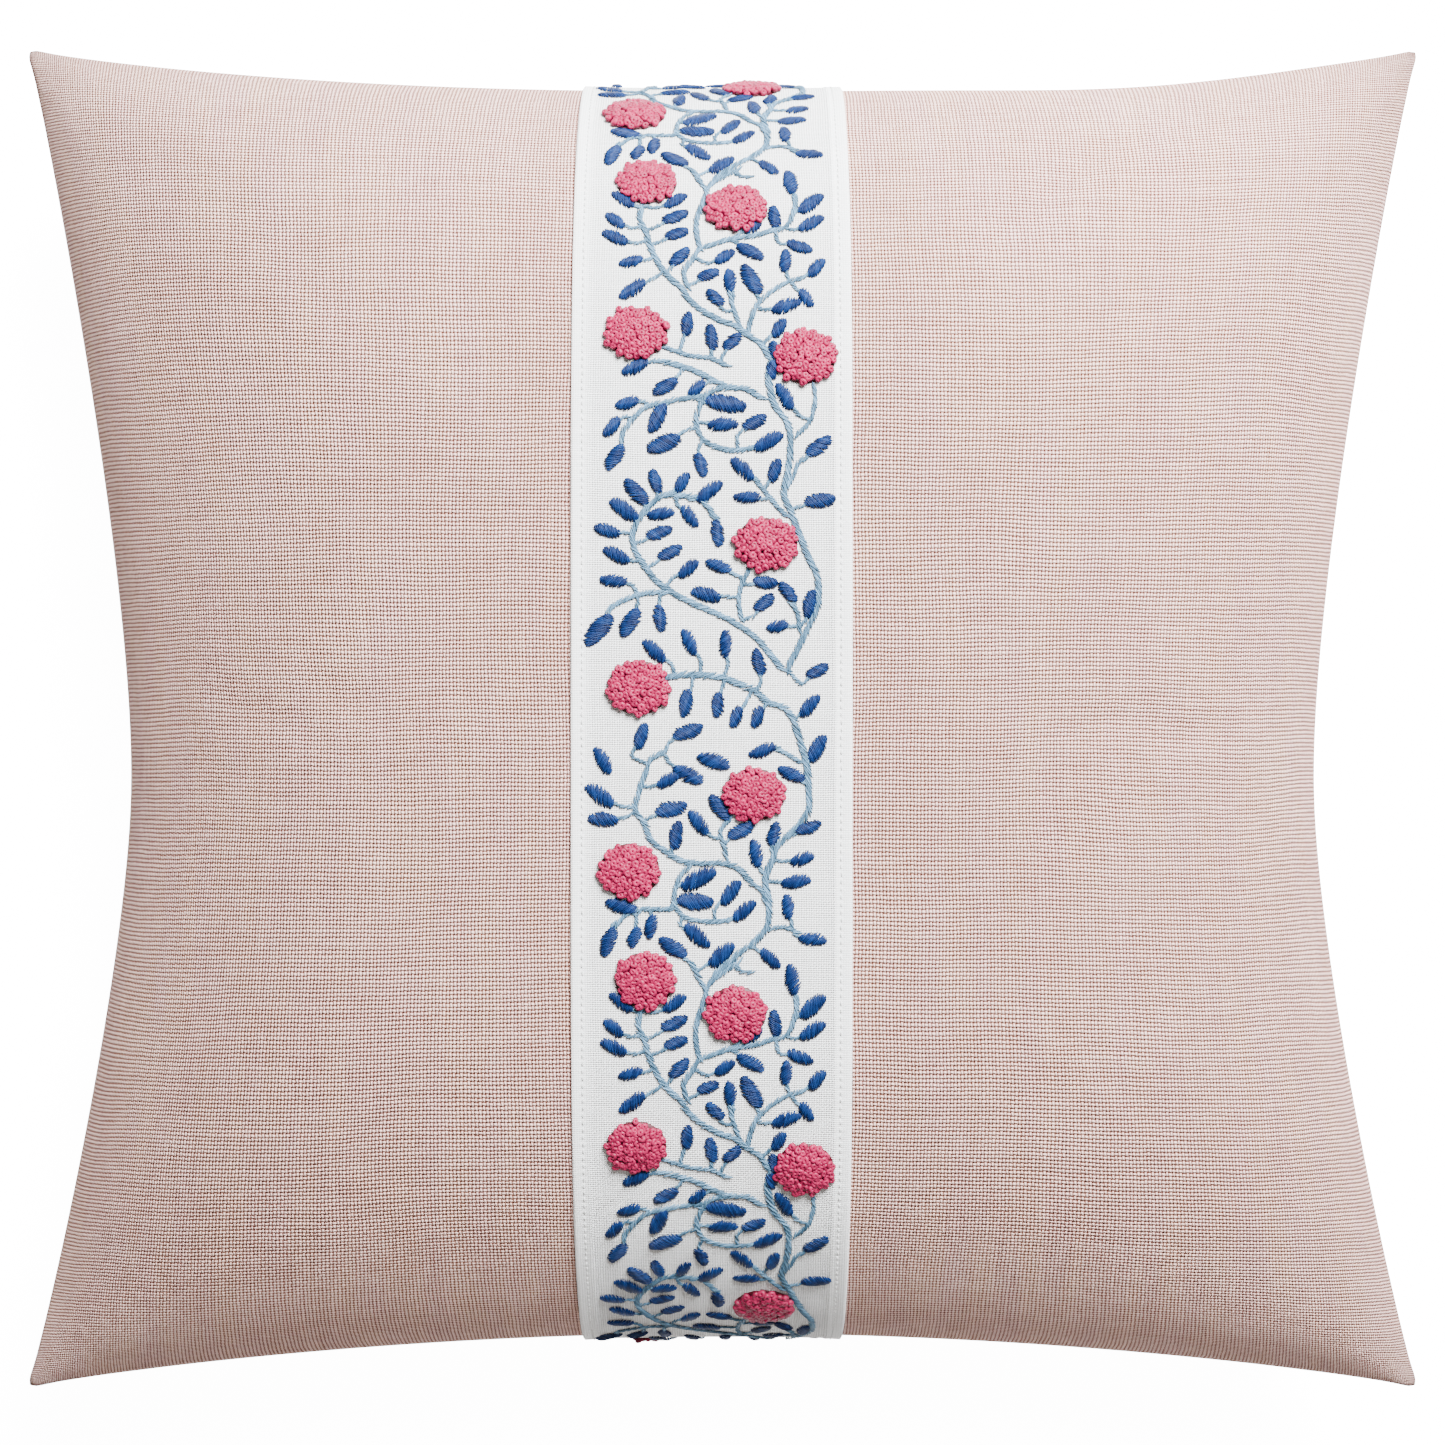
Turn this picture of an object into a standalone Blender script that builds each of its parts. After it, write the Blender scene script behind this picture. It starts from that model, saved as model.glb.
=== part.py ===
"""A square embroidered cushion: a knife-edge linen cover with a hidden zip, and the insert inside it.

The cushion lies on its back. +X is to its right, +Y is towards its top edge and +Z is up through
its thickness. The origin is the middle of the flat patch it rests on. Every layer of cloth is one
crowned surface over the same grid, drawn in or let out by the layers between it and the cover's
outer face, so that the layers nest without touching.
"""

import math

import bpy
import numpy as np

# ---- the cover, measured at its seam ----
SEAM_CORNER_X = 0.2495
SEAM_CORNER_Y = 0.2400
SIDE_PULL = 0.0379
TOP_PULL = 0.0150
BOTTOM_PULL = 0.0195
SIDE_POWER = 1.4
WAIST_SHARE = -0.087
WAIST_ROUNDING = 0.12
TOP_POWER = 2.4
SEAM_HEIGHT = 0.0550
SEAM_GAP = 0.0016

# ---- the roll of the front panel over the seam, and the crowns ----
ROLL_OUT = 0.0030
ROLL_RISE = 0.0070
FRONT_CROWN = 0.0710
BACK_CROWN = 0.0590
CROWN_FLATNESS = 4.9
CROWN_FULLNESS = 1.23

# ---- cloth, threads and the gaps between layers ----
LINEN = 0.0009
TAPE = 0.0008
TICKING = 0.0005
LAYER_GAP = 0.0003
STUFFING_GAP = 0.0004
SEAM_THREAD = 0.0010
STITCH_THREAD = 0.0005

# ---- the embroidered band ----
BAND_WIDTH = 0.0930
BAND_OFFSET = -0.0036
STITCH_INSET = 0.0038
PATTERN_REPEAT = 0.2695
FLOWER_RADIUS = 0.0115
FLOWER_RISE = 0.0030
FLOWER_GAP = 0.0006
# Each flower head in one repeat: its place across the band from its middle, and along it, in metres.
FLOWER_PLACES = (
    (-0.024, 0.0100),
    (0.018, 0.0572),
    (0.031, 0.1192),
    (-0.025, 0.1272),
    (0.008, 0.1722),
    (-0.022, 0.1832),
    (-0.027, 0.2192),
    (0.014, 0.2442),
)

# ---- the insert ----
INSERT_INSET = 0.0150
INSERT_SEAM_RISE = 0.0030
INSERT_SEAM_GAP = 0.0006

# ---- the zip, in the bottom seam ----
ZIP_OPENING = 0.3900
ZIP_INSET = 0.0068
COIL_DEPTH = 0.0020
COIL_WIDTH = 0.0020
COIL_SPACING = 0.0014
ZIP_TAPE = 0.0005
ZIP_CLEARANCE = 0.0004
STOP_LENGTH = 0.0030
SLIDER_LENGTH = 0.0090
SLIDER_PLATE = 0.0012
SLIDER_FLANGE = 0.0007
SLIDER_NECK = 0.0008
NECK_LENGTH = 0.0060
BRIDGE_REACH = 0.0030
PIVOT_REACH = 0.0017
WINDOW_LENGTH = 0.0026
WINDOW_DEPTH = 0.0014
PULL_PIN_RADIUS = 0.00035
PULL_ARM = 0.0008
PULL_LENGTH = 0.0200
PULL_THICKNESS = 0.0010

# ---- how finely the surfaces are divided ----
COLUMNS = 9
ROWS = 10
STRAIGHT_SHARE = 0.30


def seam_half_height(x, upper):
    """Height of the seam above or below the middle, at x."""
    if upper:
        waist = SEAM_CORNER_Y - TOP_PULL
        return waist + TOP_PULL * np.abs(x / SEAM_CORNER_X) ** TOP_POWER
    return SEAM_CORNER_Y - BOTTOM_PULL + arc_drop(x)


def seam_half_width(y_share):
    """Half-width of the seam at this share of the half-height.

    The waist stands at WAIST_SHARE. From it the side goes out to each corner as a power of the way
    there, rounded at the waist itself.
    """
    from_waist = y_share - WAIST_SHARE
    way = from_waist / (1 - WAIST_SHARE * np.sign(from_waist))
    least = WAIST_ROUNDING**SIDE_POWER
    out = (way**2 + WAIST_ROUNDING**2) ** (SIDE_POWER / 2) - least
    most = (1 + WAIST_ROUNDING**2) ** (SIDE_POWER / 2) - least
    return SEAM_CORNER_X - SIDE_PULL + SIDE_PULL * out / most


def arc_radius():
    """Radius of the bottom seam, an arc through both corners that is pulled in at its middle."""
    return (SEAM_CORNER_X**2 + BOTTOM_PULL**2) / (2 * BOTTOM_PULL)


def arc_drop(x):
    """How far the bottom seam falls away from its middle, at x."""
    radius = arc_radius()
    return radius - np.sqrt(radius**2 - x**2)


def arc_centre_y():
    return -(SEAM_CORNER_Y - BOTTOM_PULL) - arc_radius()


def plan_x(u, half_width):
    """X of the shares u across a cover of this half-width.

    Near the middle a column of the cloth stays straight, and towards the sides it follows them.
    """
    waist = SEAM_CORNER_X - SIDE_PULL
    follow = np.clip((np.abs(u) - STRAIGHT_SHARE) / (1 - STRAIGHT_SHARE), 0, 1) ** 1.5
    return u * waist + np.sign(u) * follow * (half_width - waist)


def plan(u, v, out):
    """Places of the shares u, v of the cover in plan, let out by this much at the edge."""
    x = plan_x(u, seam_half_width(v) + out)
    edge = plan_x(u, SEAM_CORNER_X)
    upper = seam_half_height(edge, True) + out
    lower = seam_half_height(edge, False) + out
    return x, v * np.where(v > 0, upper, lower)


def crown(w):
    return np.clip(1 - np.abs(w) ** CROWN_FLATNESS, 0, 1) ** (1 / CROWN_FULLNESS)


def front_surface(u, v, out):
    """The front of the cover, moved outwards by this much."""
    x, y = plan(u, v, ROLL_OUT + out)
    z = SEAM_HEIGHT + ROLL_RISE + (FRONT_CROWN + out) * crown(u) * crown(v)
    return np.stack([x, y, z], axis=-1)


def back_surface(u, v, out):
    """The back of the cover, moved outwards by this much, and flat where it rests."""
    x, y = plan(u, v, out)
    rim = SEAM_HEIGHT - SEAM_GAP / 2
    depth = rim - SEAM_HEIGHT + BACK_CROWN + out
    z = rim - depth * crown(u) * crown(v)
    return np.stack([x, y, np.maximum(z, -out)], axis=-1)


def insert_surface(u, v, out, front):
    """One side of the insert, moved outwards by this much from its place inside the cover."""
    x, y = plan(u, v, out - INSERT_INSET)
    middle = SEAM_HEIGHT + INSERT_SEAM_RISE
    inside = LINEN + STUFFING_GAP
    if front:
        rim = middle + INSERT_SEAM_GAP / 2
        top = SEAM_HEIGHT + ROLL_RISE + FRONT_CROWN - inside + out
        z = rim + (top - rim) * crown(u) * crown(v)
    else:
        rim = middle - INSERT_SEAM_GAP / 2
        bottom = SEAM_HEIGHT - BACK_CROWN + inside - out
        z = np.maximum(rim + (bottom - rim) * crown(u) * crown(v), inside - out)
    return np.stack([x, y, z], axis=-1)


def divisions(count, extra=()):
    """Shares from -1 to 1, closer together towards the edges, with some extra ones put in."""
    even = np.sin(np.linspace(-math.pi / 2, math.pi / 2, 2 * count + 1))
    clear = [w for w in even if all(abs(w - e) > 0.03 for e in extra)]
    return np.array(sorted([*clear, *extra]))


def band_share(across):
    """Share of the half-width that lies this far across the band from its middle."""
    return (BAND_OFFSET + across) / (SEAM_CORNER_X - SIDE_PULL)


def make_material(name, colour, roughness, metallic=0.0):
    material = bpy.data.materials.new(name)
    material.use_nodes = True
    shader = material.node_tree.nodes["Principled BSDF"]
    shader.inputs["Base Color"].default_value = (*colour, 1.0)
    shader.inputs["Roughness"].default_value = roughness
    shader.inputs["Metallic"].default_value = metallic
    material.diffuse_color = (*colour, 1.0)
    return material


def make_object(name, points, faces, material, origin=(0.0, 0.0, 0.0), smooth=True):
    """A mesh object whose own origin is at the given place."""
    local = np.asarray(points, float).reshape(-1, 3) - np.asarray(origin)
    mesh = bpy.data.meshes.new(name)
    mesh.from_pydata(local.tolist(), [], [[int(i) for i in face] for face in faces])
    mesh.validate()
    if smooth:
        mesh.shade_smooth()
        mesh.set_sharp_from_angle(angle=math.radians(40))
    obj = bpy.data.objects.new(name, mesh)
    obj.location = origin
    obj.data.materials.append(material)
    bpy.context.scene.collection.objects.link(obj)
    return obj


def grid_faces(index, flipped=False):
    """Triangles over a grid of point numbers, facing the other way where flipped.

    Every cell is cut along the same diagonal, so that layers on one grid stay clear of each other.
    """
    a, b = index[:-1, :-1], index[1:, :-1]
    c, d = index[1:, 1:], index[:-1, 1:]
    cells = np.stack([a, b, c, a, c, d], axis=-1).reshape(-1, 3)
    return cells[:, ::-1] if flipped else cells


def border(index):
    """The point numbers round the edge of a grid, anticlockwise seen from the side it faces."""
    return np.concatenate(
        [index[:-1, 0], index[-1, :-1], index[:0:-1, -1], index[0, :0:-1]]
    )


def ring_faces(outer, inner):
    """Quads between two closed rings of point numbers of the same length."""
    return np.stack([outer, inner, np.roll(inner, -1), np.roll(outer, -1)], axis=-1)


def sheet(rows_out, rows_in, flipped=False):
    """Points and faces of a closed sheet between two grids of points of the same shape."""
    shape = rows_out.shape[:2]
    outer = np.arange(shape[0] * shape[1]).reshape(shape)
    inner = outer + outer.size
    points = np.concatenate([rows_out.reshape(-1, 3), rows_in.reshape(-1, 3)])
    rim = ring_faces(border(outer), border(inner))[:, :: -1 if flipped else 1]
    faces = [*grid_faces(outer, flipped), *grid_faces(inner, not flipped), *rim]
    return points, faces


def rolled_shell(surface, u, v, out, wall, rim_z, rim_out):
    """Points and faces of a shell over the shares u, v, with its rim carried down to rim_z.

    The outer face is the surface moved by out, and the inner face lies one wall inside it.
    """
    grids = []
    for offset in (out, out - wall):
        face = surface(u[:, None], v[None, :], offset)
        x, y = plan(u[:, None], v[None, :], rim_out + offset)
        rim = np.stack([x, y, np.full_like(x, rim_z)], axis=-1)
        grids.append((face, rim))
    shape = grids[0][0].shape[:2]
    count = shape[0] * shape[1]
    index = np.arange(count).reshape(shape)
    edge = border(index)
    points = []
    for face, rim in grids:
        points += [face.reshape(-1, 3), rim.reshape(-1, 3)[edge]]
    outer_rim = count + np.arange(len(edge))
    inner = index + count + len(edge)
    inner_rim = outer_rim + count + len(edge)
    faces = [
        *grid_faces(index),
        *ring_faces(edge, outer_rim),
        *ring_faces(outer_rim, inner_rim),
        *ring_faces(inner_rim, border(inner)),
        *grid_faces(inner, True),
    ]
    return np.concatenate(points), faces


def make_front_panel(u, v, material):
    points, faces = rolled_shell(
        front_surface, u, v, 0.0, LINEN, SEAM_HEIGHT + SEAM_GAP / 2, 0.0
    )
    return make_object("front_panel", points, faces, material)


def make_back_panel(u, v, material):
    """The back panel, whose rim stands half the seam gap below the seam."""
    grids = [back_surface(u[:, None], v[None, :], offset) for offset in (0.0, -LINEN)]
    points, faces = sheet(*grids, flipped=True)
    return make_object("back_panel", points, faces, material)


def band_strip(u, v, low, high):
    """Points and faces of a strip on the front panel, over the crown from one seam to the other.

    Its under face lies this low, and its upper face this high, above the panel's outer face. It
    ends just before the seam, where the zip's pull passes under it.
    """
    rise = pull_arm_start() + PULL_ARM + ZIP_CLEARANCE
    end_out = ROLL_OUT * (rise - SEAM_GAP / 2) / (ROLL_RISE - SEAM_GAP / 2)
    grids = []
    for offset in (high, low):
        face = front_surface(u[:, None], v[None, :], offset)
        ends = []
        for side in (0, -1):
            x, y = plan(u, np.full_like(u, v[side]), end_out + offset)
            end = np.stack([x, y, np.full_like(x, SEAM_HEIGHT + rise)], axis=-1)
            ends.append(end[:, None])
        grids.append(np.concatenate([ends[0], face, ends[1]], axis=1))
    return sheet(*grids)


def make_band(v, material):
    u = band_share(np.linspace(-BAND_WIDTH / 2, BAND_WIDTH / 2, 6))
    points, faces = band_strip(u, v, LAYER_GAP, LAYER_GAP + TAPE)
    return make_object("band", points, faces, material)


def make_topstitch(name, side, v, material):
    """The row of stitching along one edge of the band."""
    middle = side * (BAND_WIDTH / 2 - STITCH_INSET)
    half = STITCH_THREAD / 2
    u = band_share(np.array([middle - half, middle + half]))
    low = 2 * LAYER_GAP + TAPE
    points, faces = band_strip(u, v, low, low + STITCH_THREAD)
    return make_object(name, points, faces, material)


def along_band():
    """Distances along the band from its middle, with the share of the half-height at each."""
    v = np.linspace(-1, 1, 4001)
    points = front_surface(np.full_like(v, band_share(0.0)), v, 0.0)
    steps = np.linalg.norm(np.diff(points, axis=0), axis=1)
    distance = np.concatenate([[0.0], np.cumsum(steps)])
    return distance - np.interp(0.0, v, distance), v


def make_flower(name, across, along, material):
    """A flower head: a low dome laid on the band, cut off where the band enters the seam."""
    distance, share = along_band()
    low = LAYER_GAP + TAPE + FLOWER_GAP
    rings = ((1.0, 0.4), (0.78, 0.85), (0.4, 1.0))
    turns = np.arange(12) * math.tau / 12

    def places(scale, height):
        u = band_share(across + FLOWER_RADIUS * scale * np.cos(turns))
        q = along + FLOWER_RADIUS * scale * np.sin(turns)
        q = np.clip(q, distance[0], distance[-1])
        return front_surface(u, np.interp(q, distance, share), low + height)

    loops = [places(scale, 0.0) for scale in (0.4, 0.78, 1.0)]
    loops += [places(scale, FLOWER_RISE * rise) for scale, rise in rings]
    count = len(turns)
    points = np.concatenate(loops)
    faces = [list(range(count))[::-1]]
    for i in range(len(loops) - 1):
        first = np.arange(count) + i * count
        faces += ring_faces(first, first + count)[:, ::-1].tolist()
    faces.append([count * (len(loops) - 1) + i for i in range(count)])
    return make_object(name, points, faces, material)


def make_flowers(material):
    """The flower heads, in the repeats of the pattern that the band's length holds.

    One whose middle has just passed the edge still shows a part of itself, so it is kept.
    """
    distance, _ = along_band()
    number = 1
    for repeat in (0, -1):
        for across, along in FLOWER_PLACES:
            q = along + repeat * PATTERN_REPEAT
            if distance[0] - FLOWER_RADIUS < q < distance[-1]:
                make_flower(f"flower_{number:02d}", across, q, material)
                number += 1


def make_seam_thread(u, v, material):
    """The line of stitches that joins the panels, round the three sides with no zip in them."""
    half = SEAM_THREAD / 2
    left = np.stack([np.full_like(v, u[0]), v], axis=-1)
    top = np.stack([u, np.full_like(u, v[-1])], axis=-1)
    right = np.stack([np.full_like(v, u[-1]), v[::-1]], axis=-1)
    path = np.concatenate([left, top[1:], right[1:]])
    rows = []
    for out, rise in ((0.0, -half), (0.0, half), (-SEAM_THREAD, half), (-SEAM_THREAD, -half)):
        x, y = plan(path[:, 0], path[:, 1], out)
        rows.append(np.stack([x, y, np.full_like(x, SEAM_HEIGHT + rise)], axis=-1))
    return swept("seam_thread", np.stack(rows, axis=1), material)


def swept(name, sections, material):
    """A closed solid through a run of sections, each the same number of points round a loop."""
    count, around = sections.shape[:2]
    index = np.arange(count * around).reshape(count, around)
    faces = []
    for i in range(count - 1):
        faces += ring_faces(index[i], index[i + 1]).tolist()
    faces += [index[0].tolist(), index[-1][::-1].tolist()]
    obj = make_object(name, sections.reshape(-1, 3), faces, material)
    face_outwards(obj)
    return obj


def face_outwards(obj):
    """Turns every face round if the solid is inside out."""
    mesh = obj.data
    mesh.calc_loop_triangles()
    corners = np.array([[mesh.vertices[i].co[:] for i in t.vertices] for t in mesh.loop_triangles])
    if np.einsum("ij,ij->i", corners[:, 0], np.cross(corners[:, 1], corners[:, 2])).sum() < 0:
        mesh.flip_normals()


def make_insert(u, v, ticking, filling):
    """The insert: two sides of ticking, a little apart at their seam, and the stuffing in them."""
    for name, front in (("insert_ticking_front", True), ("insert_ticking_back", False)):
        grids = [insert_surface(u[:, None], v[None, :], out, front) for out in (0.0, -TICKING)]
        points, faces = sheet(*grids, flipped=not front)
        make_object(name, points, faces, ticking)
    inside = -TICKING - STUFFING_GAP
    top = insert_surface(u[:, None], v[None, :], inside, True)
    bottom = insert_surface(u[:, None], v[None, :], inside, False)
    points, faces = sheet(top, bottom)
    make_object("insert_stuffing", points, faces, filling)


def on_arc(distance, inset, z):
    """A place near the bottom seam: this far along it from its middle and this far inside it."""
    radius = arc_radius() + inset
    angle = np.asarray(distance) / arc_radius()
    x = radius * np.sin(angle)
    y = arc_centre_y() + radius * np.cos(angle)
    return np.stack(np.broadcast_arrays(x, y, SEAM_HEIGHT + z), axis=-1)


def zip_stations(u):
    """Distances along the bottom seam: the grid's own columns in the opening, and its two ends."""
    own = arc_radius() * np.arcsin(plan_x(u, SEAM_CORNER_X) / arc_radius())
    half = ZIP_OPENING / 2
    own = own[np.abs(own) < half - STOP_LENGTH]
    return np.concatenate([[-half], own, [half]])


def share_at(distance):
    """Share of the half-width at these distances along the bottom seam."""
    share = np.linspace(-1, 1, 4001)
    x = arc_radius() * np.sin(np.asarray(distance) / arc_radius())
    return np.interp(x, plan_x(share, SEAM_CORNER_X), share)


def make_zip_coil(name, side, stations, material):
    """One side's row of teeth, as a bar along the bottom seam."""
    near = side * COIL_SPACING / 2
    far = near + side * COIL_WIDTH
    depths = (ZIP_INSET, ZIP_INSET, ZIP_INSET + COIL_DEPTH, ZIP_INSET + COIL_DEPTH)
    corners = zip(depths, (near, far, far, near))
    sections = [on_arc(stations, inset, z) for inset, z in corners]
    return swept(name, np.stack(sections, axis=1), material)


def make_zip_tape(name, side, stations, v, material):
    """One side's tape: away from the seam behind the coil, then over to the inside of its panel."""
    surface = front_surface if side > 0 else back_surface
    share = share_at(stations)
    outer = []
    inner = []
    behind = ZIP_INSET - ZIP_CLEARANCE
    wing = slider_reach() + SLIDER_FLANGE + ZIP_CLEARANCE
    for z in (COIL_SPACING / 2, wing):
        outer.append(on_arc(stations, behind - ZIP_TAPE, side * z))
        inner.append(on_arc(stations, behind, side * z))
    for ends, offset in ((outer, 0.0), (inner, -ZIP_TAPE)):
        rows = [
            surface(share, np.full_like(share, v[row]), offset - LINEN - 2 * ZIP_CLEARANCE)
            for row in (1, 2)
        ]
        ends.append((rows[0] + rows[1]) / 2)
    return swept(name, np.stack(outer + inner[::-1], axis=1), material)


def make_zip_stop(name, end, material):
    """A stop just past the coils at one end of the opening."""
    first = end * (ZIP_OPENING / 2 + LAYER_GAP)
    stations = np.array([first, first + end * STOP_LENGTH])
    half = COIL_SPACING / 2 + COIL_WIDTH
    corners = (
        (ZIP_INSET, -half),
        (ZIP_INSET, half),
        (ZIP_INSET + COIL_DEPTH, half),
        (ZIP_INSET + COIL_DEPTH, -half),
    )
    sections = [on_arc(stations, inset, z) for inset, z in corners]
    obj = swept(name, np.stack(sections, axis=1), material)
    bevel = obj.modifiers.new("worn_edges", "BEVEL")
    bevel.width = 0.0004
    bevel.segments = 2
    return obj


def extrude_outline(outline, low, high):
    """Points and faces of a prism whose outline lies in (along, inset) and whose height is z."""
    count = len(outline)
    points = [(a, b, low) for a, b in outline] + [(a, b, high) for a, b in outline]
    faces = [list(range(count))[::-1], [count + i for i in range(count)]]
    faces += [[i, (i + 1) % count, (i + 1) % count + count, i + count] for i in range(count)]
    return np.array(points), faces


def block(low, high):
    """Points and faces of a box between two corners in (along, inset, z)."""
    outline = [(low[0], low[1]), (high[0], low[1]), (high[0], high[1]), (low[0], high[1])]
    return extrude_outline(outline, low[2], high[2])


def helper(name, points, faces):
    """A mesh that only takes part in a Boolean."""
    obj = make_object(name, points, faces, bpy.data.materials[0], smooth=False)
    face_outwards(obj)
    obj.hide_render = True
    obj.display_type = "WIRE"
    return obj


def combine(obj, other, operation):
    modifier = obj.modifiers.new(f"{operation.lower()}_{other.name}", "BOOLEAN")
    modifier.operation = operation
    modifier.solver = "EXACT"
    modifier.object = other


def slider_reach():
    """How far the slider's channel reaches above and below the seam."""
    return COIL_SPACING / 2 + COIL_WIDTH + ZIP_CLEARANCE


def pull_arm_start():
    """How far above and below the seam the pull's arms begin, clear of the slider's neck."""
    return SLIDER_NECK / 2 + ZIP_CLEARANCE


def make_zip_slider(carriage, material):
    """The slider: a channel round both coils, and a neck through the slit that ends in a bridge.

    It is modelled in the carriage's own axes: X along the seam, Y into the cushion and Z up.
    """
    reach = slider_reach()
    channel_floor = ZIP_INSET + COIL_DEPTH + ZIP_CLEARANCE
    half = SLIDER_LENGTH / 2
    back = channel_floor + SLIDER_PLATE
    outer = reach + SLIDER_FLANGE
    points, faces = block((-half, ZIP_INSET, -outer), (half, back, outer))
    slider = make_object("zip_slider", points, faces, material)
    face_outwards(slider)
    channel = helper(
        "slider_channel",
        *block((-2 * half, 0.0, -reach), (2 * half, channel_floor, reach)),
    )
    bridge_half = NECK_LENGTH / 2
    outline = [
        (-bridge_half, channel_floor + SLIDER_PLATE / 2),
        (-bridge_half, -BRIDGE_REACH * 0.6),
        (-bridge_half * 0.6, -BRIDGE_REACH),
        (bridge_half * 0.6, -BRIDGE_REACH),
        (bridge_half, -BRIDGE_REACH * 0.6),
        (bridge_half, channel_floor + SLIDER_PLATE / 2),
    ]
    neck = helper(
        "slider_neck", *extrude_outline(outline, -SLIDER_NECK / 2, SLIDER_NECK / 2)
    )
    window = helper(
        "slider_window",
        *block(
            (-WINDOW_LENGTH / 2, -PIVOT_REACH - WINDOW_DEPTH / 2, -SLIDER_NECK),
            (WINDOW_LENGTH / 2, -PIVOT_REACH + WINDOW_DEPTH / 2, SLIDER_NECK),
        ),
    )
    combine(slider, channel, "DIFFERENCE")
    combine(slider, neck, "UNION")
    combine(slider, window, "DIFFERENCE")
    for obj in (slider, channel, neck, window):
        obj.parent = carriage
    return slider


def make_zip_pull(pivot, material):
    """The pull: a pin through the bridge's window, two arms past the bridge, and a blade."""
    arm_start = pull_arm_start()
    arm_end = arm_start + PULL_ARM
    blade_start = math.hypot(NECK_LENGTH / 2, BRIDGE_REACH - PIVOT_REACH) + 2 * ZIP_CLEARANCE
    half = PULL_THICKNESS / 2
    tip = PULL_LENGTH
    outline = [(half, -half), (half, half), (-tip, half), (-tip, -half)]
    points, faces = extrude_outline(outline, -arm_end, arm_end)
    pull = make_object("zip_pull", points, faces, material)
    face_outwards(pull)
    gap = helper(
        "pull_gap", *block((-blade_start, -2 * half, -arm_start), (2 * half, 2 * half, arm_start))
    )
    turns = np.arange(8) * math.tau / 8
    ring = [(PULL_PIN_RADIUS * math.cos(t), PULL_PIN_RADIUS * math.sin(t)) for t in turns]
    middle = (arm_start + arm_end) / 2
    pin = helper("pull_pin", *extrude_outline(ring, -middle, middle))
    combine(pull, gap, "DIFFERENCE")
    combine(pull, pin, "UNION")
    for obj in (pull, gap, pin):
        obj.parent = pivot
    return pull


def make_zip(u, v, cloth, plastic, metal):
    """The zip in the bottom seam, closed, with its slider against the stop at the right."""
    stations = zip_stations(u)
    for side, word in ((1, "front"), (-1, "back")):
        make_zip_coil(f"zip_coil_{word}", side, stations, plastic)
        make_zip_tape(f"zip_tape_{word}", side, stations, v, cloth)
    make_zip_stop("zip_stop_closed", 1, metal)
    make_zip_stop("zip_stop_open", -1, metal)
    track = bpy.data.objects.new("zip_track", None)
    track.location = (0.0, arc_centre_y(), SEAM_HEIGHT)
    bpy.context.scene.collection.objects.link(track)
    carriage = bpy.data.objects.new("slider_carriage", None)
    angle = (ZIP_OPENING / 2 - SLIDER_LENGTH / 2) / arc_radius()
    carriage.parent = track
    carriage.location = (arc_radius() * math.sin(angle), arc_radius() * math.cos(angle), 0.0)
    carriage.rotation_euler = (0.0, 0.0, -angle)
    bpy.context.scene.collection.objects.link(carriage)
    pivot = bpy.data.objects.new("pull_pivot", None)
    pivot.parent = carriage
    pivot.location = (0.0, -PIVOT_REACH, 0.0)
    bpy.context.scene.collection.objects.link(pivot)
    make_zip_slider(carriage, metal)
    make_zip_pull(pivot, metal)


def clear_scene():
    for obj in list(bpy.data.objects):
        bpy.data.objects.remove(obj)
    for material in list(bpy.data.materials):
        bpy.data.materials.remove(material)


def build():
    clear_scene()
    pink_linen = make_material("pink_linen", (0.62, 0.47, 0.44), 0.9)
    white_linen = make_material("white_linen", (0.80, 0.80, 0.78), 0.85)
    white_thread = make_material("white_thread", (0.85, 0.85, 0.83), 0.6)
    flower_thread = make_material("flower_thread", (0.72, 0.13, 0.19), 0.5)
    pink_thread = make_material("pink_thread", (0.60, 0.44, 0.41), 0.6)
    zip_cloth = make_material("zip_tape", (0.66, 0.50, 0.47), 0.8)
    zip_plastic = make_material("zip_coil", (0.66, 0.50, 0.47), 0.45)
    zip_metal = make_material("zip_metal", (0.66, 0.52, 0.49), 0.35, 0.6)
    ticking = make_material("ticking", (0.85, 0.84, 0.80), 0.85)
    stuffing = make_material("stuffing", (0.88, 0.88, 0.86), 0.95)
    u = divisions(COLUMNS, band_share(np.array([-BAND_WIDTH / 2, BAND_WIDTH / 2])))
    v = divisions(ROWS)
    make_front_panel(u, v, pink_linen)
    make_back_panel(u, v, pink_linen)
    make_band(v, white_linen)
    make_topstitch("band_topstitch_left", -1, v, white_thread)
    make_topstitch("band_topstitch_right", 1, v, white_thread)
    make_flowers(flower_thread)
    make_seam_thread(u, v, pink_thread)
    make_insert(u, v, ticking, stuffing)
    make_zip(u, v, zip_cloth, zip_plastic, zip_metal)


build()
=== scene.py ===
import math

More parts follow.
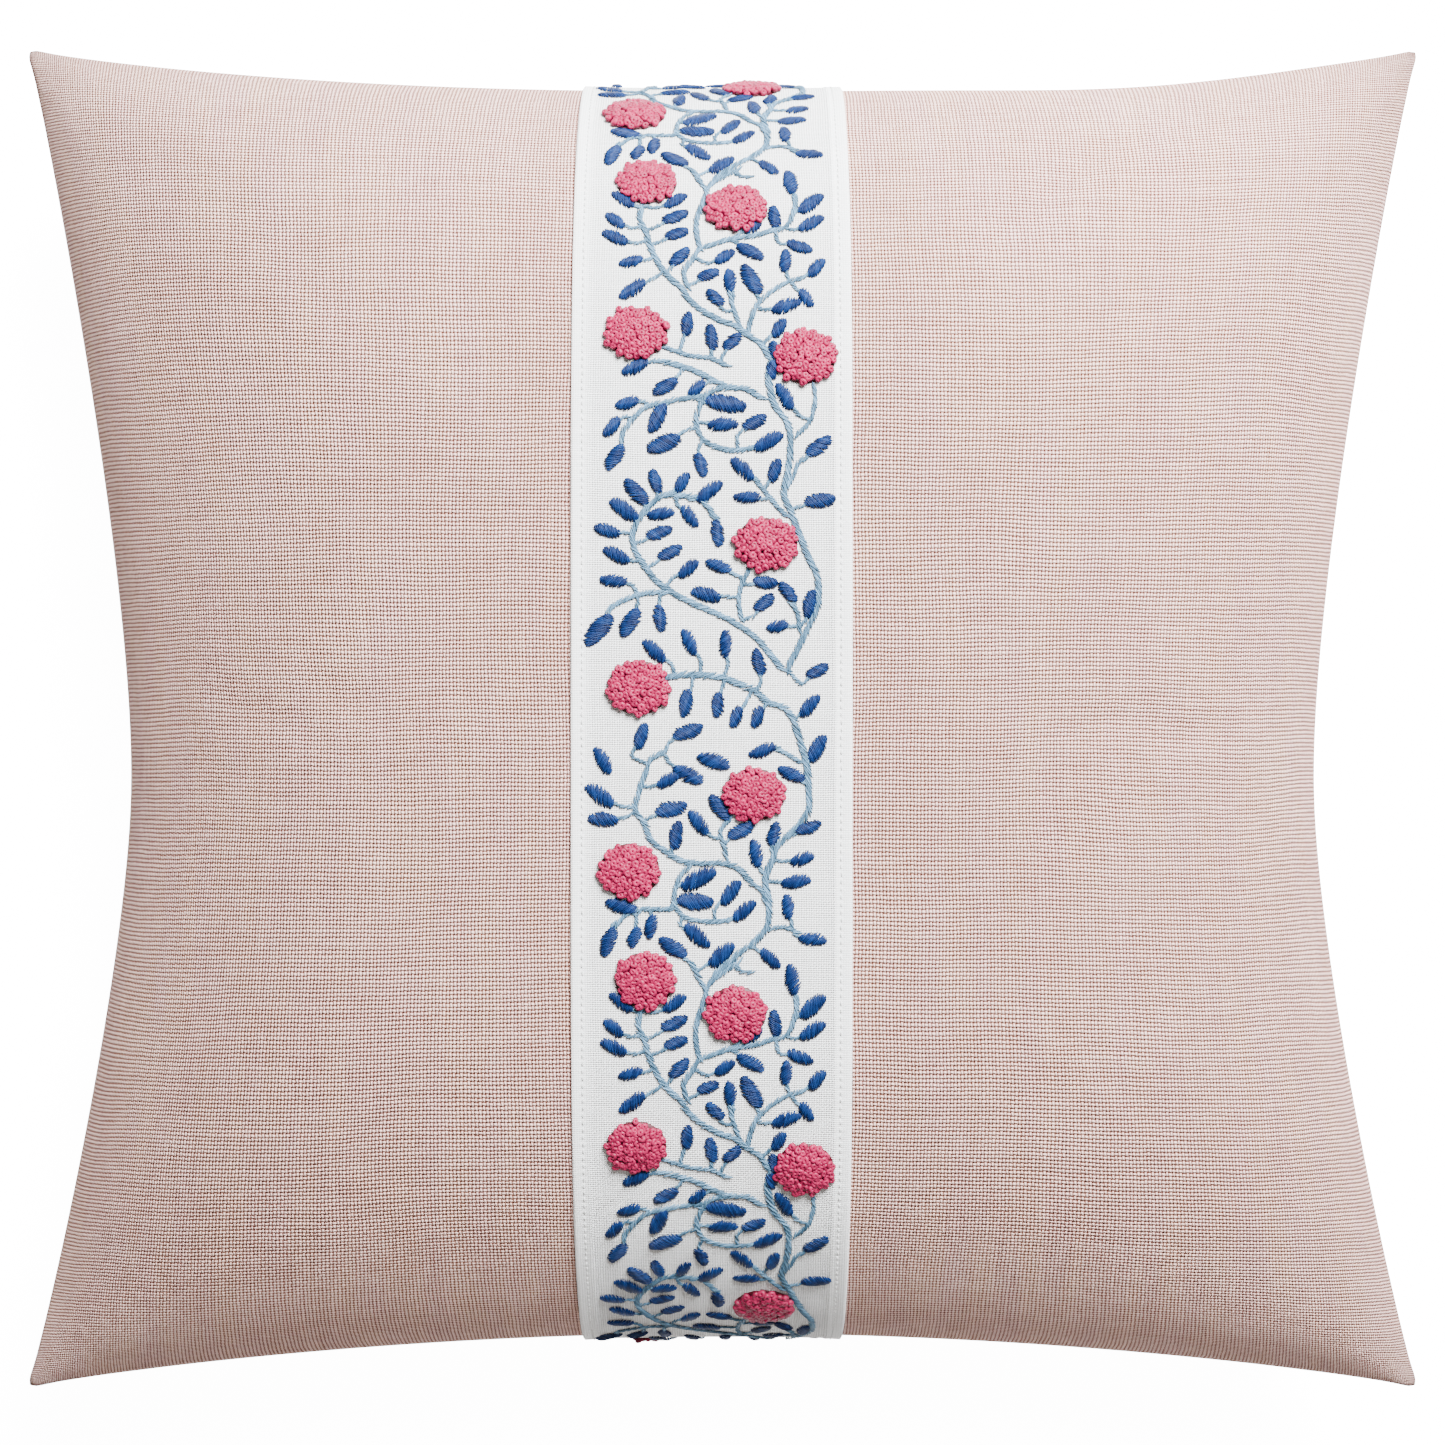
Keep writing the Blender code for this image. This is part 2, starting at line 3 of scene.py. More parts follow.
import bpy
import numpy as np
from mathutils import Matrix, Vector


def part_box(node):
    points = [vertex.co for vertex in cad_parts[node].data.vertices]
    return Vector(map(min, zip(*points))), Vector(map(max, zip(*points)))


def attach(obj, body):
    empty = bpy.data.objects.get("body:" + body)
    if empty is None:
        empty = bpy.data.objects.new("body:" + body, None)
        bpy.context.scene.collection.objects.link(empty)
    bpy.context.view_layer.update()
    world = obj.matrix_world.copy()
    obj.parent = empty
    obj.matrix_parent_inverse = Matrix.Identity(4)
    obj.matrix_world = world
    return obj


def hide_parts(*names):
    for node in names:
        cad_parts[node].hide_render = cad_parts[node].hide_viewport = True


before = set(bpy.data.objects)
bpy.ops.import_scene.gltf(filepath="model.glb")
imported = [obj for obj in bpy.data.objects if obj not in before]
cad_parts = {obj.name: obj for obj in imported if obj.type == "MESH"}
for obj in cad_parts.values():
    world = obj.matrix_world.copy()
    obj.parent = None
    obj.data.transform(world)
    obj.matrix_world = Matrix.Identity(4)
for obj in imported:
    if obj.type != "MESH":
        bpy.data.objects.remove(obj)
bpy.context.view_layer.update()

# ---- the cover's shape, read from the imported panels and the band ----
panel_low, panel_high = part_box("front_panel")
band_low, band_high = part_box("band")
SEAM_GAP = 0.0016
ROLL_OUT = 0.0030
ROLL_RISE = 0.0070
SEAM_HEIGHT = panel_low.z - SEAM_GAP / 2
FRONT_CROWN = panel_high.z - SEAM_HEIGHT - ROLL_RISE
BACK_CROWN = 0.0590
CORNER_X = panel_high.x - ROLL_OUT
CORNER_Y = panel_high.y - ROLL_OUT
SIDE_PULL = 0.0379
TOP_PULL = 0.0150
BOTTOM_PULL = 0.0195
SIDE_POWER = 1.4
WAIST_SHARE = -0.087
WAIST_ROUNDING = 0.12
TOP_DIP = 0.0030
TOP_DIP_AT = 0.150
TOP_DIP_REACH = 0.060
TOP_POWER = 2.4
CROWN_FLATNESS = 4.9
CROWN_FULLNESS = 1.23
STRAIGHT_SHARE = 0.30
CORNER_ROUND = 0.0045
ROLL_LENGTH = 0.0073
SEWN_GAP = 0.0004
TURN_IN = 0.0012
REST_SOFTNESS = 0.0022
CUT_SIDE = 0.508

# ---- cloth, tape and thread ----
LINEN = 0.0009
TAPE = 0.0008
TICKING = 0.0005
LAYER_GAP = 0.0003
BAND_MIDDLE = (band_low.x + band_high.x) / 2
BAND_WIDTH = 0.0930
HEM_WIDTH = 0.0062
HEM_RISE = 0.00030
STITCH_INSET = 0.0038
STITCH_PITCH = 0.0025
STITCH_THREAD = 0.0005
STITCH_DIP = 0.00028

# ---- the embroidery: its repeat, its flower heads, and its threads ----
PATTERN_REPEAT = 0.2695
FLOWER_RADIUS = 0.0112
FLOWER_RISE = 0.0024
KNOTS_IN_HEAD = 82
KNOT_RADIUS = 0.00142
STRAND = 0.00033
LEAF_SLANT = math.radians(30)
LEAF_STRAND = STRAND * 1.12
LEAF_ARCH = 0.16
LEAF_ARCH_LEAST = 0.0002
LEAF_ARCH_MOST = 0.0008
STEM_ARCH = 0.06
STEM_ARCH_LEAST = 0.0001
STEM_ARCH_MOST = 0.0004
GOLDEN_TURN = math.pi * (3 - math.sqrt(5))
# Each flower head in one repeat: its place across the band from its middle, and along it, in metres.
FLOWER_PLACES = (
    (-0.024, 0.0100),
    (0.018, 0.0572),
    (0.031, 0.1192),
    (-0.025, 0.1272),
    (0.008, 0.1722),
    (-0.022, 0.1832),
    (-0.027, 0.2192),
    (0.014, 0.2442),
)
# The stems in one repeat, in millimetres across and along the band: a width, then the places that
# its middle line passes through.
STEMS = (
    (2.9, (20, 117), (19, 110), (21, 101), (25, 95), (26, 86), (25, 78), (24, 72), (26, 66),
      (31, 53), (35, 43), (35, 36), (31, 26), (25, 14)),
    (2.6, (-18, 116), (-7, 113), (6, 107), (12, 106), (17, 103)),
    (2.3, (6, 107), (-1, 105), (-4, 100), (-5, 95), (-3, 90), (2, 87), (8, 86), (14, 87), (18, 88)),
    (2.3, (-3, 104), (-15, 102), (-22, 100), (-26, 96), (-29, 92), (-30, 88)),
    (2, (34, 108), (34, 101), (32, 95), (28, 91)),
    (2, (33, 85), (29, 82), (27, 78), (25, 74)),
    (2, (14, 77), (18, 72), (22, 67), (25, 64)),
    (2.6, (1, 63), (-1, 67), (-4, 70), (-10, 71), (-16, 71), (-21, 67), (-24, 63), (-26, 57),
      (-25, 53), (-22, 48), (-18, 43), (-14, 40), (-7, 36), (0, 33), (8, 29), (15, 24), (20, 18),
      (24, 13)),
    (2.2, (-14, 39), (-21, 39), (-28, 37), (-35, 33)),
    (2, (10, 30), (9, 36), (10, 42), (13, 48)),
    (2, (29, 26), (28, 33), (26, 36)),
    (2.9, (-16, 11), (-10, 12), (-3, 12), (4, 11), (9, 9), (14, 7), (19, 3), (24, 1), (27, -3),
      (29, -9), (31, -16), (32, -26), (32, -32), (29, -37), (25, -41), (22, -44), (20, -49),
      (18, -54), (19, -64), (18, -71), (15, -75), (10, -79), (4, -84), (0, -88)),
    (2.5, (-15, -13), (-20, -16), (-22, -21), (-24, -27), (-25, -32), (-22, -37), (-20, -42),
      (-15, -46), (-10, -49), (-2, -50), (4, -50), (9, -52), (13, -56), (17, -60), (18, -64)),
    (2.1, (-6, -50), (-10, -54), (-12, -59), (-12, -64), (-8, -68), (-3, -69), (3, -69), (7, -68),
      (11, -66)),
    (2, (5, -49), (4, -44), (3, -40), (7, -34)),
    (2.1, (-12, -65), (-18, -65), (-23, -65), (-28, -67), (-32, -71)),
    (1.9, (21, -12), (25, -14), (30, -17)),
    (1.9, (18, -72), (24, -71), (29, -73)),
    (2.4, (-7, -82), (-4, -88), (-2, -92), (-3, -97), (-5, -104), (-5, -109), (-4, -115)),
    (2.4, (10, -82), (4, -86), (0, -89), (-2, -92)),
    (1.9, (8, -83), (9, -85), (13, -86)),
    (2.6, (-23, -98), (-24, -103), (-22, -109), (-20, -115), (-17, -121), (-14, -125), (-10, -129),
      (-8, -132), (-4, -136), (3, -140), (8, -142), (12, -145), (16, -148), (20, -154)),
    (2.4, (-8, -129), (-9, -123), (-6, -118), (-4, -115), (1, -113), (7, -111), (14, -110),
      (20, -108), (24, -107), (27, -102), (28, -98), (28, -94)),
    (2, (9, -141), (7, -135), (6, -130)),
    (2.2, (12, -145), (13, -140), (15, -135), (20, -130), (25, -127), (31, -125)),
    (2, (-16, -149), (-7, -152), (0, -153), (6, -156)),
)
# The leaves in one repeat, in millimetres: where each begins, across and along, and where its tip is.
LEAVES = (
    (14, 87, 24, 91), (-30, 88, -34, 79), (32, 84, 39, 91), (31, 68, 41, 71), (-34, 32, -41, 21),
    (-21, 115, -30, 112), (-12, 110, -19, 104), (-2, 108, -8, 105), (-24, 102, -32, 101),
    (-30, 96, -36, 91), (-15, 101, -21, 92), (-11, 91, -21, 85), (-4, 85, -3, 77),
    (-2, 102, 12, 101), (-1, 95, 9, 94), (11, 93, 18, 98), (27, 100, 21, 108), (19, 110, 21, 116),
    (14, 77, 6, 83), (19, 76, 23, 83), (16, 70, 7, 71), (2, 63, 2, 54), (-18, 72, -19, 80),
    (-22, 68, -28, 77), (-24, 64, -34, 69), (-21, 65, -12, 65), (-12, 73, -7, 78), (-5, 70, 4, 75),
    (-10, 67, -4, 61), (-21, 57, -13, 61), (-30, 59, -39, 60), (-27, 50, -36, 53),
    (-17, 50, -10, 55), (-11, 45, -4, 49), (-28, 42, -37, 44), (-25, 34, -29, 24),
    (-17, 35, -17, 26), (6, 46, -2, 50), (3, 38, -7, 39), (14, 42, 22, 43), (27, 36, 23, 43),
    (31, 31, 34, 40), (15, 33, 20, 39), (25, 28, 18, 28), (-15, 17, -23, 23), (-5, 19, -10, 27),
    (5, 18, 4, 27), (16, 12, 15, 21), (32, 11, 38, 16), (7, -68, 15, -63), (-7, 7, -10, -2),
    (3, 6, 1, -2), (10, 1, 6, -5), (17, 1, 13, -5), (29, -1, 36, 5), (32, -16, 38, -8),
    (21, -12, 12, -14), (30, -23, 22, -18), (28, -40, 36, -36), (20, -44, 21, -36),
    (16, -51, 13, -42), (26, -49, 34, -48), (23, -56, 33, -56), (26, -68, 24, -60),
    (29, -74, 38, -76), (-12, -9, -3, -4), (-25, -12, -21, -4), (-4, -14, 6, -19),
    (-12, -18, -3, -24), (-18, -24, -10, -21), (-33, -20, -39, -12), (-32, -30, -42, -25),
    (-31, -35, -41, -36), (-18, -34, -8, -30), (-13, -45, -10, -36), (5, -36, 0, -27),
    (6, -42, 14, -36), (-1, -40, -8, -33), (-10, -57, 2, -53), (-11, -63, 1, -62),
    (3, -63, 10, -56), (-25, -66, -35, -62), (-33, -71, -35, -81), (-25, -71, -26, -78),
    (-20, -67, -20, -75), (-9, -71, 0, -77), (-9, -81, -17, -74), (-1, -83, 8, -77),
    (16, -79, 23, -84), (28, -93, 25, -83), (29, -100, 38, -94), (29, -107, 38, -103),
    (21, -107, 21, -98), (11, -108, 17, -105), (9, -113, 17, -119), (1, -119, 8, -116),
    (-4, -126, 2, -122), (25, -113, 34, -115), (25, -123, 24, -115), (7, -130, 5, -122),
    (3, -135, -1, -129), (15, -131, 11, -120), (32, -124, 38, -119), (29, -130, 34, -135),
    (20, -136, 30, -134), (20, -145, 25, -140), (21, -154, 21, -147), (-26, -98, -34, -93),
    (-16, -98, -8, -94), (-29, -106, -36, -102), (-16, -105, -8, -100), (-28, -112, -37, -109),
    (-15, -111, -8, -107), (-23, -119, -31, -120), (-13, -121, -8, -114), (-22, -127, -31, -132),
    (-9, -145, -7, -137), (0, -150, 0, -141), (5, -150, 9, -144),
)
FLOWER_HOLD = 0.0115
# How far along the band the stems and leaves above are moved to meet the flower heads.
STEM_SHIFT = 0.0022

# ---- colours, as linear light ----
PINK_COOL = (0.66, 0.355, 0.312)
PINK_WARM = (0.70, 0.390, 0.283)
PINK_DEEP = (0.55, 0.258, 0.206)
# A lighter pink, painted on the linen's yarn crowns as a highlight.
PINK_HIGHLIGHT = (0.96, 0.71, 0.64)
# A dark red-brown, painted as shade on the linen's yarn flanks and in the gaps of its weave.
PINK_SHADE = (0.115, 0.038, 0.026)
WHITE_YARN = (0.90, 0.90, 0.89)
# A grey, painted as shade in the white linen's gaps.
WHITE_GAP_SHADE = (0.36, 0.35, 0.34)
LEAF_DARK = (0.003, 0.009, 0.045)
LEAF_LIGHT = (0.009, 0.037, 0.140)
STEM_DARK = (0.040, 0.090, 0.140)
STEM_LIGHT = (0.165, 0.320, 0.470)
# Deep rose is painted as shade between the knots and light rose as a highlight on their crowns; both are
# also the ends of each knot's own tone.
ROSE_DEEP = (0.060, 0.002, 0.008)
ROSE_LIGHT = (0.320, 0.010, 0.060)

# ---- the weave: how far its yarns bend, counted in yarns, and how high one rides over another ----
BEND_YARNS = 1.6
OVER_RISE = 0.75

# ---- the lights ----
KEY_POWER = 165.0
OVERHEAD_POWER = 7.0
FILL_POWER = 3.5
SKY_GLOW = 0.18
FLOOR_GLOW = 14.0
FLOOR_HALF = 30.0
WINDOW_PLACE = (0.47, 0.95, 1.12)
WINDOW_SIZE = 0.8
WINDOW_COLOUR = (0.95, 0.975, 1.0)
OVERHEAD_PLACE = (0.25, 0.10, 2.0)
OVERHEAD_SIZE = 1.6
OVERHEAD_COLOUR = (1.0, 0.99, 0.97)
FILL_PLACE = (-0.5, -1.5, 1.0)
FILL_SIZE = 1.6
FILL_COLOUR = (1.0, 0.72, 0.52)
SKY_COLOUR = (1.0, 0.995, 0.99, 1.0)
CAMERA_LENS = 53.7
CAMERA_SENSOR = 36.0
CAMERA_ABOVE_SEAM_ROLL = 0.782
CAMERA_DOWN = 0.00145

# ---- the zip in the bottom seam ----
ZIP_OPENING = 0.3900
ZIP_INSET = 0.0068
COIL_SPACING = 0.0014
COIL_WIDTH = 0.0020
COIL_WIRE = 0.00030
COIL_PITCH = 0.0014

# ---- the insert ----
INSERT_INSET = 0.0150
INSERT_SEAM_RISE = 0.0030
STUFFING_GAP = 0.0004

# ---- how finely the surfaces are divided ----
PANEL_POINTS = 181
INSERT_POINTS = 81
SIM_POINTS = 91
SIM_FRAMES = 20
SMOOTH_POINTS = 9
CALM_RIM = 0.22
MOST_MOVE = 0.0042
EDGE_MOVE = 0.0009

rng = np.random.default_rng(7)
front_move = np.zeros((SIM_POINTS, SIM_POINTS, 3))
back_move = np.zeros((SIM_POINTS, SIM_POINTS, 3))


# ======== the cover as a surface of shares u, v from -1 to 1 ========


def smooth_step(low, high, x):
    """0 below low and 1 above high, with 3t^2 - 2t^3 between them."""
    t = np.clip((x - low) / (high - low), 0, 1)
    return t * t * (3 - 2 * t)


def seam_half_width(v):
    """The side seam's distance from the middle: the waist plus the pull times a rounded power.

    With w the way from the waist to the corner, from 0 to 1, it is the waist + the pull *
    ((w^2 + r^2)^(p/2) - r^p), scaled so that the corner gets all of the pull.
    """
    from_waist = v - WAIST_SHARE
    way = from_waist / (1 - WAIST_SHARE * np.sign(from_waist))
    least = WAIST_ROUNDING**SIDE_POWER
    out = (way**2 + WAIST_ROUNDING**2) ** (SIDE_POWER / 2) - least
    most = (1 + WAIST_ROUNDING**2) ** (SIDE_POWER / 2) - least
    return CORNER_X - SIDE_PULL + SIDE_PULL * out / most


def arc_radius():
    """Radius of the bottom seam's arc, from its half-chord and its height."""
    return (CORNER_X**2 + BOTTOM_PULL**2) / (2 * BOTTOM_PULL)


def seam_half_height(x, upper):
    """The top seam rises by a power of x, and the bottom seam falls along a circle's arc."""
    top = CORNER_Y - TOP_PULL + TOP_PULL * np.abs(x / CORNER_X) ** TOP_POWER
    top = top - TOP_DIP * np.exp(-(((x - TOP_DIP_AT) / TOP_DIP_REACH) ** 2))
    radius = arc_radius()
    bottom = CORNER_Y - BOTTOM_PULL + radius - np.sqrt(np.maximum(radius**2 - x**2, 0))
    return np.where(upper, top, bottom)


def plan_x(u, half_width):
    """X of the share u: straight columns near the middle, which then follow the pulled-in sides."""
    waist = CORNER_X - SIDE_PULL
    follow = np.clip((np.abs(u) - STRAIGHT_SHARE) / (1 - STRAIGHT_SHARE), 0, 1) ** 1.5
    return u * waist + np.sign(u) * follow * (half_width - waist)


def plan(u, v, out):
    """X and Y of the shares u, v with the edge let out by this much.

    Inside each corner's small square, a point at (a, b) is drawn to (a, b) * max(a, b) / |(a, b)|,
    which turns the square into a quarter disc and so rounds the corner.
    """
    x = plan_x(u, seam_half_width(v) + out)
    y = v * (seam_half_height(plan_x(u, CORNER_X), v > 0) + out)
    a = np.abs(x) - (CORNER_X + out - CORNER_ROUND)
    b = np.abs(y) - (CORNER_Y + out - CORNER_ROUND)
    longest = np.maximum(a, b)
    inside = (a > 0) & (b > 0)
    share = np.where(inside, longest / np.maximum(np.hypot(a, b), 1e-9), 1.0)
    x = x - np.sign(x) * np.where(inside, a * (1 - share), 0)
    y = y - np.sign(y) * np.where(inside, b * (1 - share), 0)
    return x, y


def crown(w):
    """Fullness of the stuffing across the cushion: (1 - |w|^p)^(1/q)."""
    return np.clip(1 - np.abs(w) ** CROWN_FLATNESS, 0, 1) ** (1 / CROWN_FULLNESS)


def seam_opening(u, v):
    """Half the gap between the panels at the seam: a hair where it is sewn, wider along the zip."""
    reach = np.abs(plan_x(u, CORNER_X))
    half = ZIP_OPENING / 2
    slit = smooth_step(half + 0.010, half + 0.001, reach) * (v < -0.5)
    return (SEWN_GAP + (SEAM_GAP - SEWN_GAP) * slit) / 2


def sampled(field, u, v):
    """The field at the shares u, v, by the cubic B-spline through its even grid."""
    count = field.shape[0]
    total = 0.0
    weights = []
    for share in (u, v):
        place = (np.clip(share, -1, 1) + 1) / 2 * (count - 1)
        cell = np.minimum(place.astype(int), count - 2)
        f = place - cell
        cubes = ((1 - f) ** 3, 3 * f**3 - 6 * f**2 + 4, -3 * f**3 + 3 * f**2 + 3 * f + 1, f**3)
        weights.append([(np.clip(cell + k - 1, 0, count - 1), w / 6) for k, w in enumerate(cubes)])
    for row, across in weights[0]:
        for column, along in weights[1]:
            total = total + field[row, column] * (across * along)[..., None]
    return total


def cover_front(u, v, turn=0.0):
    """The front panel's outer face: the plan, and height + crown(u) * crown(v) * fullness.

    The turn goes from 0 on the widest line to 1 at the seam. On it the edge comes in by
    t/2 + (1 - cos(90 t))/2 of the roll and falls by t/2 + sin(90 t)/2 of it.
    """
    u, v, turn = np.broadcast_arrays(np.asarray(u, float), np.asarray(v, float), turn)
    inward = turn / 2 + (1 - np.cos(turn * math.pi / 2)) / 2
    down = turn / 2 + np.sin(turn * math.pi / 2) / 2
    x, y = plan(u, v, ROLL_OUT * (1 - inward))
    z = SEAM_HEIGHT + ROLL_RISE - down * (ROLL_RISE - seam_opening(u, v))
    z = z + FRONT_CROWN * crown(u) * crown(v)
    return np.stack([x, y, z], axis=-1) + (1 - turn)[..., None] * sampled(front_move, u, v)


def cover_back(u, v, turn=0.0):
    """The back panel's outer face, hung below the seam and flattened where it rests.

    The rest is a soft limit: z becomes (z + sqrt(z^2 + s^2)) / 2, less what that leaves at its lowest.
    """
    u, v, turn = np.broadcast_arrays(np.asarray(u, float), np.asarray(v, float), turn)
    x, y = plan(u, v, 0.0 * turn)
    rim = SEAM_HEIGHT - seam_opening(u, v)
    lowest = SEAM_HEIGHT - BACK_CROWN
    z = rim - (rim - lowest) * crown(u) * crown(v)
    left_over = (lowest + math.hypot(lowest, REST_SOFTNESS)) / 2
    points = np.stack([x, y, z], axis=-1) + (1 - turn)[..., None] * sampled(back_move, u, v)
    z = points[..., 2]
    soft = (z + np.hypot(z, REST_SOFTNESS)) / 2 - left_over * (1 - z / SEAM_HEIGHT)
    return np.concatenate([points[..., :2], np.maximum(soft, 0)[..., None]], axis=-1)


def arc_lengths(share, points):
    """Distances along a row of points, counted from where its share is 0."""
    steps = np.linalg.norm(np.diff(points, axis=0), axis=1)
    distance = np.concatenate([[0.0], np.cumsum(steps)])
    return distance - np.interp(0.0, share, distance)


FINE = np.linspace(-1, 1, 4001)
BAND_SHARE = BAND_MIDDLE / (CORNER_X - SIDE_PULL)
ACROSS = arc_lengths(FINE, cover_front(FINE, np.zeros_like(FINE)))
ALONG = arc_lengths(FINE, cover_front(np.full_like(FINE, BAND_SHARE), FINE))


def cloth_u(u):
    """Distance across the cloth of the share u."""
    return np.interp(u, FINE, ACROSS)


def cloth_v(v):
    """Distance along the cloth of the share v."""
    return np.interp(v, FINE, ALONG)


# ======== the shape that the stuffing gives: a cloth simulation ========


def relax_cover():
    """How far each point of the front and back moves when the sewn bag is blown up.

    The bag is both panels on an even grid of shares, joined round their edges. Its rest shape is the
    two flat squares that it was cut from, which are a little longer than the seam drawn in by the
    stuffing, so the spare cloth puckers. The moves are capped, less near the seam and the zip.
    """
    share = np.linspace(-1, 1, SIM_POINTS)
    u, v = np.meshgrid(share, share, indexing="ij")
    starts = [cover_front(u, v), cover_back(u, v)]
    half = CUT_SIDE / 2
    scale_u = half / ACROSS[-1]
    scale_v = half / ALONG[-1]
    flat = np.stack([cloth_u(u) * scale_u, cloth_v(v) * scale_v, 0 * u], axis=-1)
    index = np.arange(u.size).reshape(u.shape)
    faces = [grid_quads(index), grid_quads(index, True) + u.size]
    faces.append(ring_quads(border(index), border(index) + u.size))
    points = np.concatenate([side.reshape(-1, 3) for side in starts])
    obj = make_piece("bag", points, faces, None)
    obj.shape_key_add(name="drawn_in")
    key = obj.shape_key_add(name="flat_cut")
    cut = np.concatenate([flat.reshape(-1, 3), flat.reshape(-1, 3)])
    cut[u.size :, 2] -= SEAM_GAP
    key.data.foreach_set("co", cut.astype(np.float32).ravel())
    key.value = 0.0
    held = obj.vertex_groups.new(name="held")
    held.add((border(index) + u.size).tolist(), 1.0, "REPLACE")
    cloth = obj.modifiers.new("cloth", "CLOTH")
    settings = cloth.settings
    settings.quality = 6
    settings.mass = 0.25
    settings.tension_stiffness = 18
    settings.compression_stiffness = 18
    settings.shear_stiffness = 4
    settings.bending_stiffness = 0.35
    settings.air_damping = 2
    settings.use_pressure = True
    settings.uniform_pressure_force = 4
    settings.vertex_group_mass = "held"
    settings.rest_shape_key = key
    settings.effector_weights.gravity = 0
    scene = bpy.context.scene
    for step in range(1, SIM_FRAMES + 1):
        scene.frame_set(step)
    solved = obj.evaluated_get(bpy.context.evaluated_depsgraph_get())
    moved = np.empty(len(points) * 3, np.float32)
    solved.data.vertices.foreach_get("co", moved)
    moved = moved.reshape(-1, 3).astype(float) - points
    bpy.data.objects.remove(obj)
    scene.frame_set(1)
    edge = 1 - np.maximum(np.abs(u), np.abs(v))
    moves = []
    for side in np.split(moved, 2):
        move = side.reshape(*u.shape, 3)
        move = move - local_mean(move, SMOOTH_POINTS)
        limit = EDGE_MOVE + (MOST_MOVE - EDGE_MOVE) * smooth_step(0.0, CALM_RIM, edge)
        length = np.linalg.norm(move, axis=-1)
        move = move * (limit * np.tanh(length / limit) / np.maximum(length, 1e-9))[..., None]
        moves.append(move)
    return moves


def local_mean(field, width):
    """The field averaged over a square of this many points, its edge rows repeated outwards."""
    half = width // 2
    padded = np.pad(field, ((half, half), (half, half), (0, 0)), mode="edge")
    sums = np.cumsum(np.cumsum(padded, axis=0), axis=1)
    sums = np.pad(sums, ((1, 0), (1, 0), (0, 0)))
    total = sums[width:, width:] - sums[:-width, width:] - sums[width:, :-width]
    return (total + sums[:-width, :-width]) / width**2


# ======== meshes from whole arrays ========


def grid_quads(index, flipped=False):
    """Quads over a grid of point numbers, facing the other way where flipped."""
    quads = np.stack([index[:-1, :-1], index[1:, :-1], index[1:, 1:], index[:-1, 1:]], axis=-1)
    quads = quads.reshape(-1, 4)
    return quads[:, ::-1] if flipped else quads


def border(index):
    """The point numbers round the edge of a grid, anticlockwise seen from above."""
    return np.concatenate([index[:-1, 0], index[-1, :-1], index[:0:-1, -1], index[0, :0:-1]])


def ring_quads(outer, inner, flipped=False):
    """Quads between two closed rings of point numbers of the same length."""
    quads = np.stack([outer, inner, np.roll(inner, -1), np.roll(outer, -1)], axis=-1)
    return quads[:, ::-1] if flipped else quads


def make_piece(name, points, faces, finish, uv=None, corner_uv=None, **values):
    """A smooth mesh object from arrays: points, groups of faces, a UV and named point values."""
    mesh = bpy.data.meshes.new(name)
    corners = np.concatenate([group.reshape(-1) for group in faces]).astype(np.int32)
    sizes = np.concatenate([np.full(len(group), group.shape[1]) for group in faces])
    mesh.vertices.add(len(points))
    mesh.vertices.foreach_set("co", np.asarray(points, np.float32).ravel())
    mesh.loops.add(len(corners))
    mesh.loops.foreach_set("vertex_index", corners)
    mesh.polygons.add(len(sizes))
    mesh.polygons.foreach_set("loop_start", (np.cumsum(sizes) - sizes).astype(np.int32))
    mesh.update(calc_edges=True)
    if uv is not None:
        corner_uv = uv[corners]
    if corner_uv is not None:
        layer = mesh.uv_layers.new(name="cloth")
        layer.data.foreach_set("uv", np.asarray(corner_uv, np.float32).ravel())
    for label, value in values.items():
        attribute = mesh.attributes.new(label, "FLOAT", "POINT")
        attribute.data.foreach_set("value", np.asarray(value, np.float32).ravel())
    mesh.shade_smooth()
    if finish:
        mesh.materials.append(finish)
    obj = bpy.data.objects.new(name, mesh)
    bpy.context.scene.collection.objects.link(obj)
    return obj


def tubes(paths, up, wide, high, around=5):
    """Many closed threads at once: points, faces, corner UV and each point's thread number.

    A thread's section at each place of its path is centre + side * wide * cos(a) + up * high * sin(a),
    with the side square to the path and to the up direction.
    """
    threads, places = paths.shape[:2]
    ahead = np.gradient(paths, axis=1)
    side = np.cross(ahead, up)
    side = side / np.maximum(np.linalg.norm(side, axis=-1, keepdims=True), 1e-12)
    lift = np.cross(side, ahead)
    lift = lift / np.maximum(np.linalg.norm(lift, axis=-1, keepdims=True), 1e-12)
    angle = np.arange(around) * math.tau / around
    ring = side[:, :, None] * (wide[..., None] * np.cos(angle))[..., None]
    ring = ring + lift[:, :, None] * (high[..., None] * np.sin(angle))[..., None]
    points = paths[:, :, None] + ring
    index = np.arange(threads * places * around).reshape(threads, places, around)
    here, beyond = index[:, :-1], index[:, 1:]
    quads = np.stack([here, beyond, np.roll(beyond, -1, 2), np.roll(here, -1, 2)], axis=-1)
    caps = np.concatenate([index[:, 0], index[:, -1, ::-1]])
    turn = np.broadcast_to(np.arange(around) / around, here.shape)
    step = np.broadcast_to(np.arange(places - 1)[:, None] / (places - 1), here.shape)
    a = np.stack([turn, step], axis=-1)
    right = np.array([1 / around, 0.0])
    on = np.array([0.0, 1 / (places - 1)])
    uv = np.concatenate(
        [
            np.stack([a, a + on, a + on + right, a + right], axis=-2).reshape(-1, 2),
            np.zeros((caps.size, 2)),
        ]
    )
    number = np.repeat(np.arange(threads), places * around)
    return points.reshape(-1, 3), [quads.reshape(-1, 4), caps], uv, number


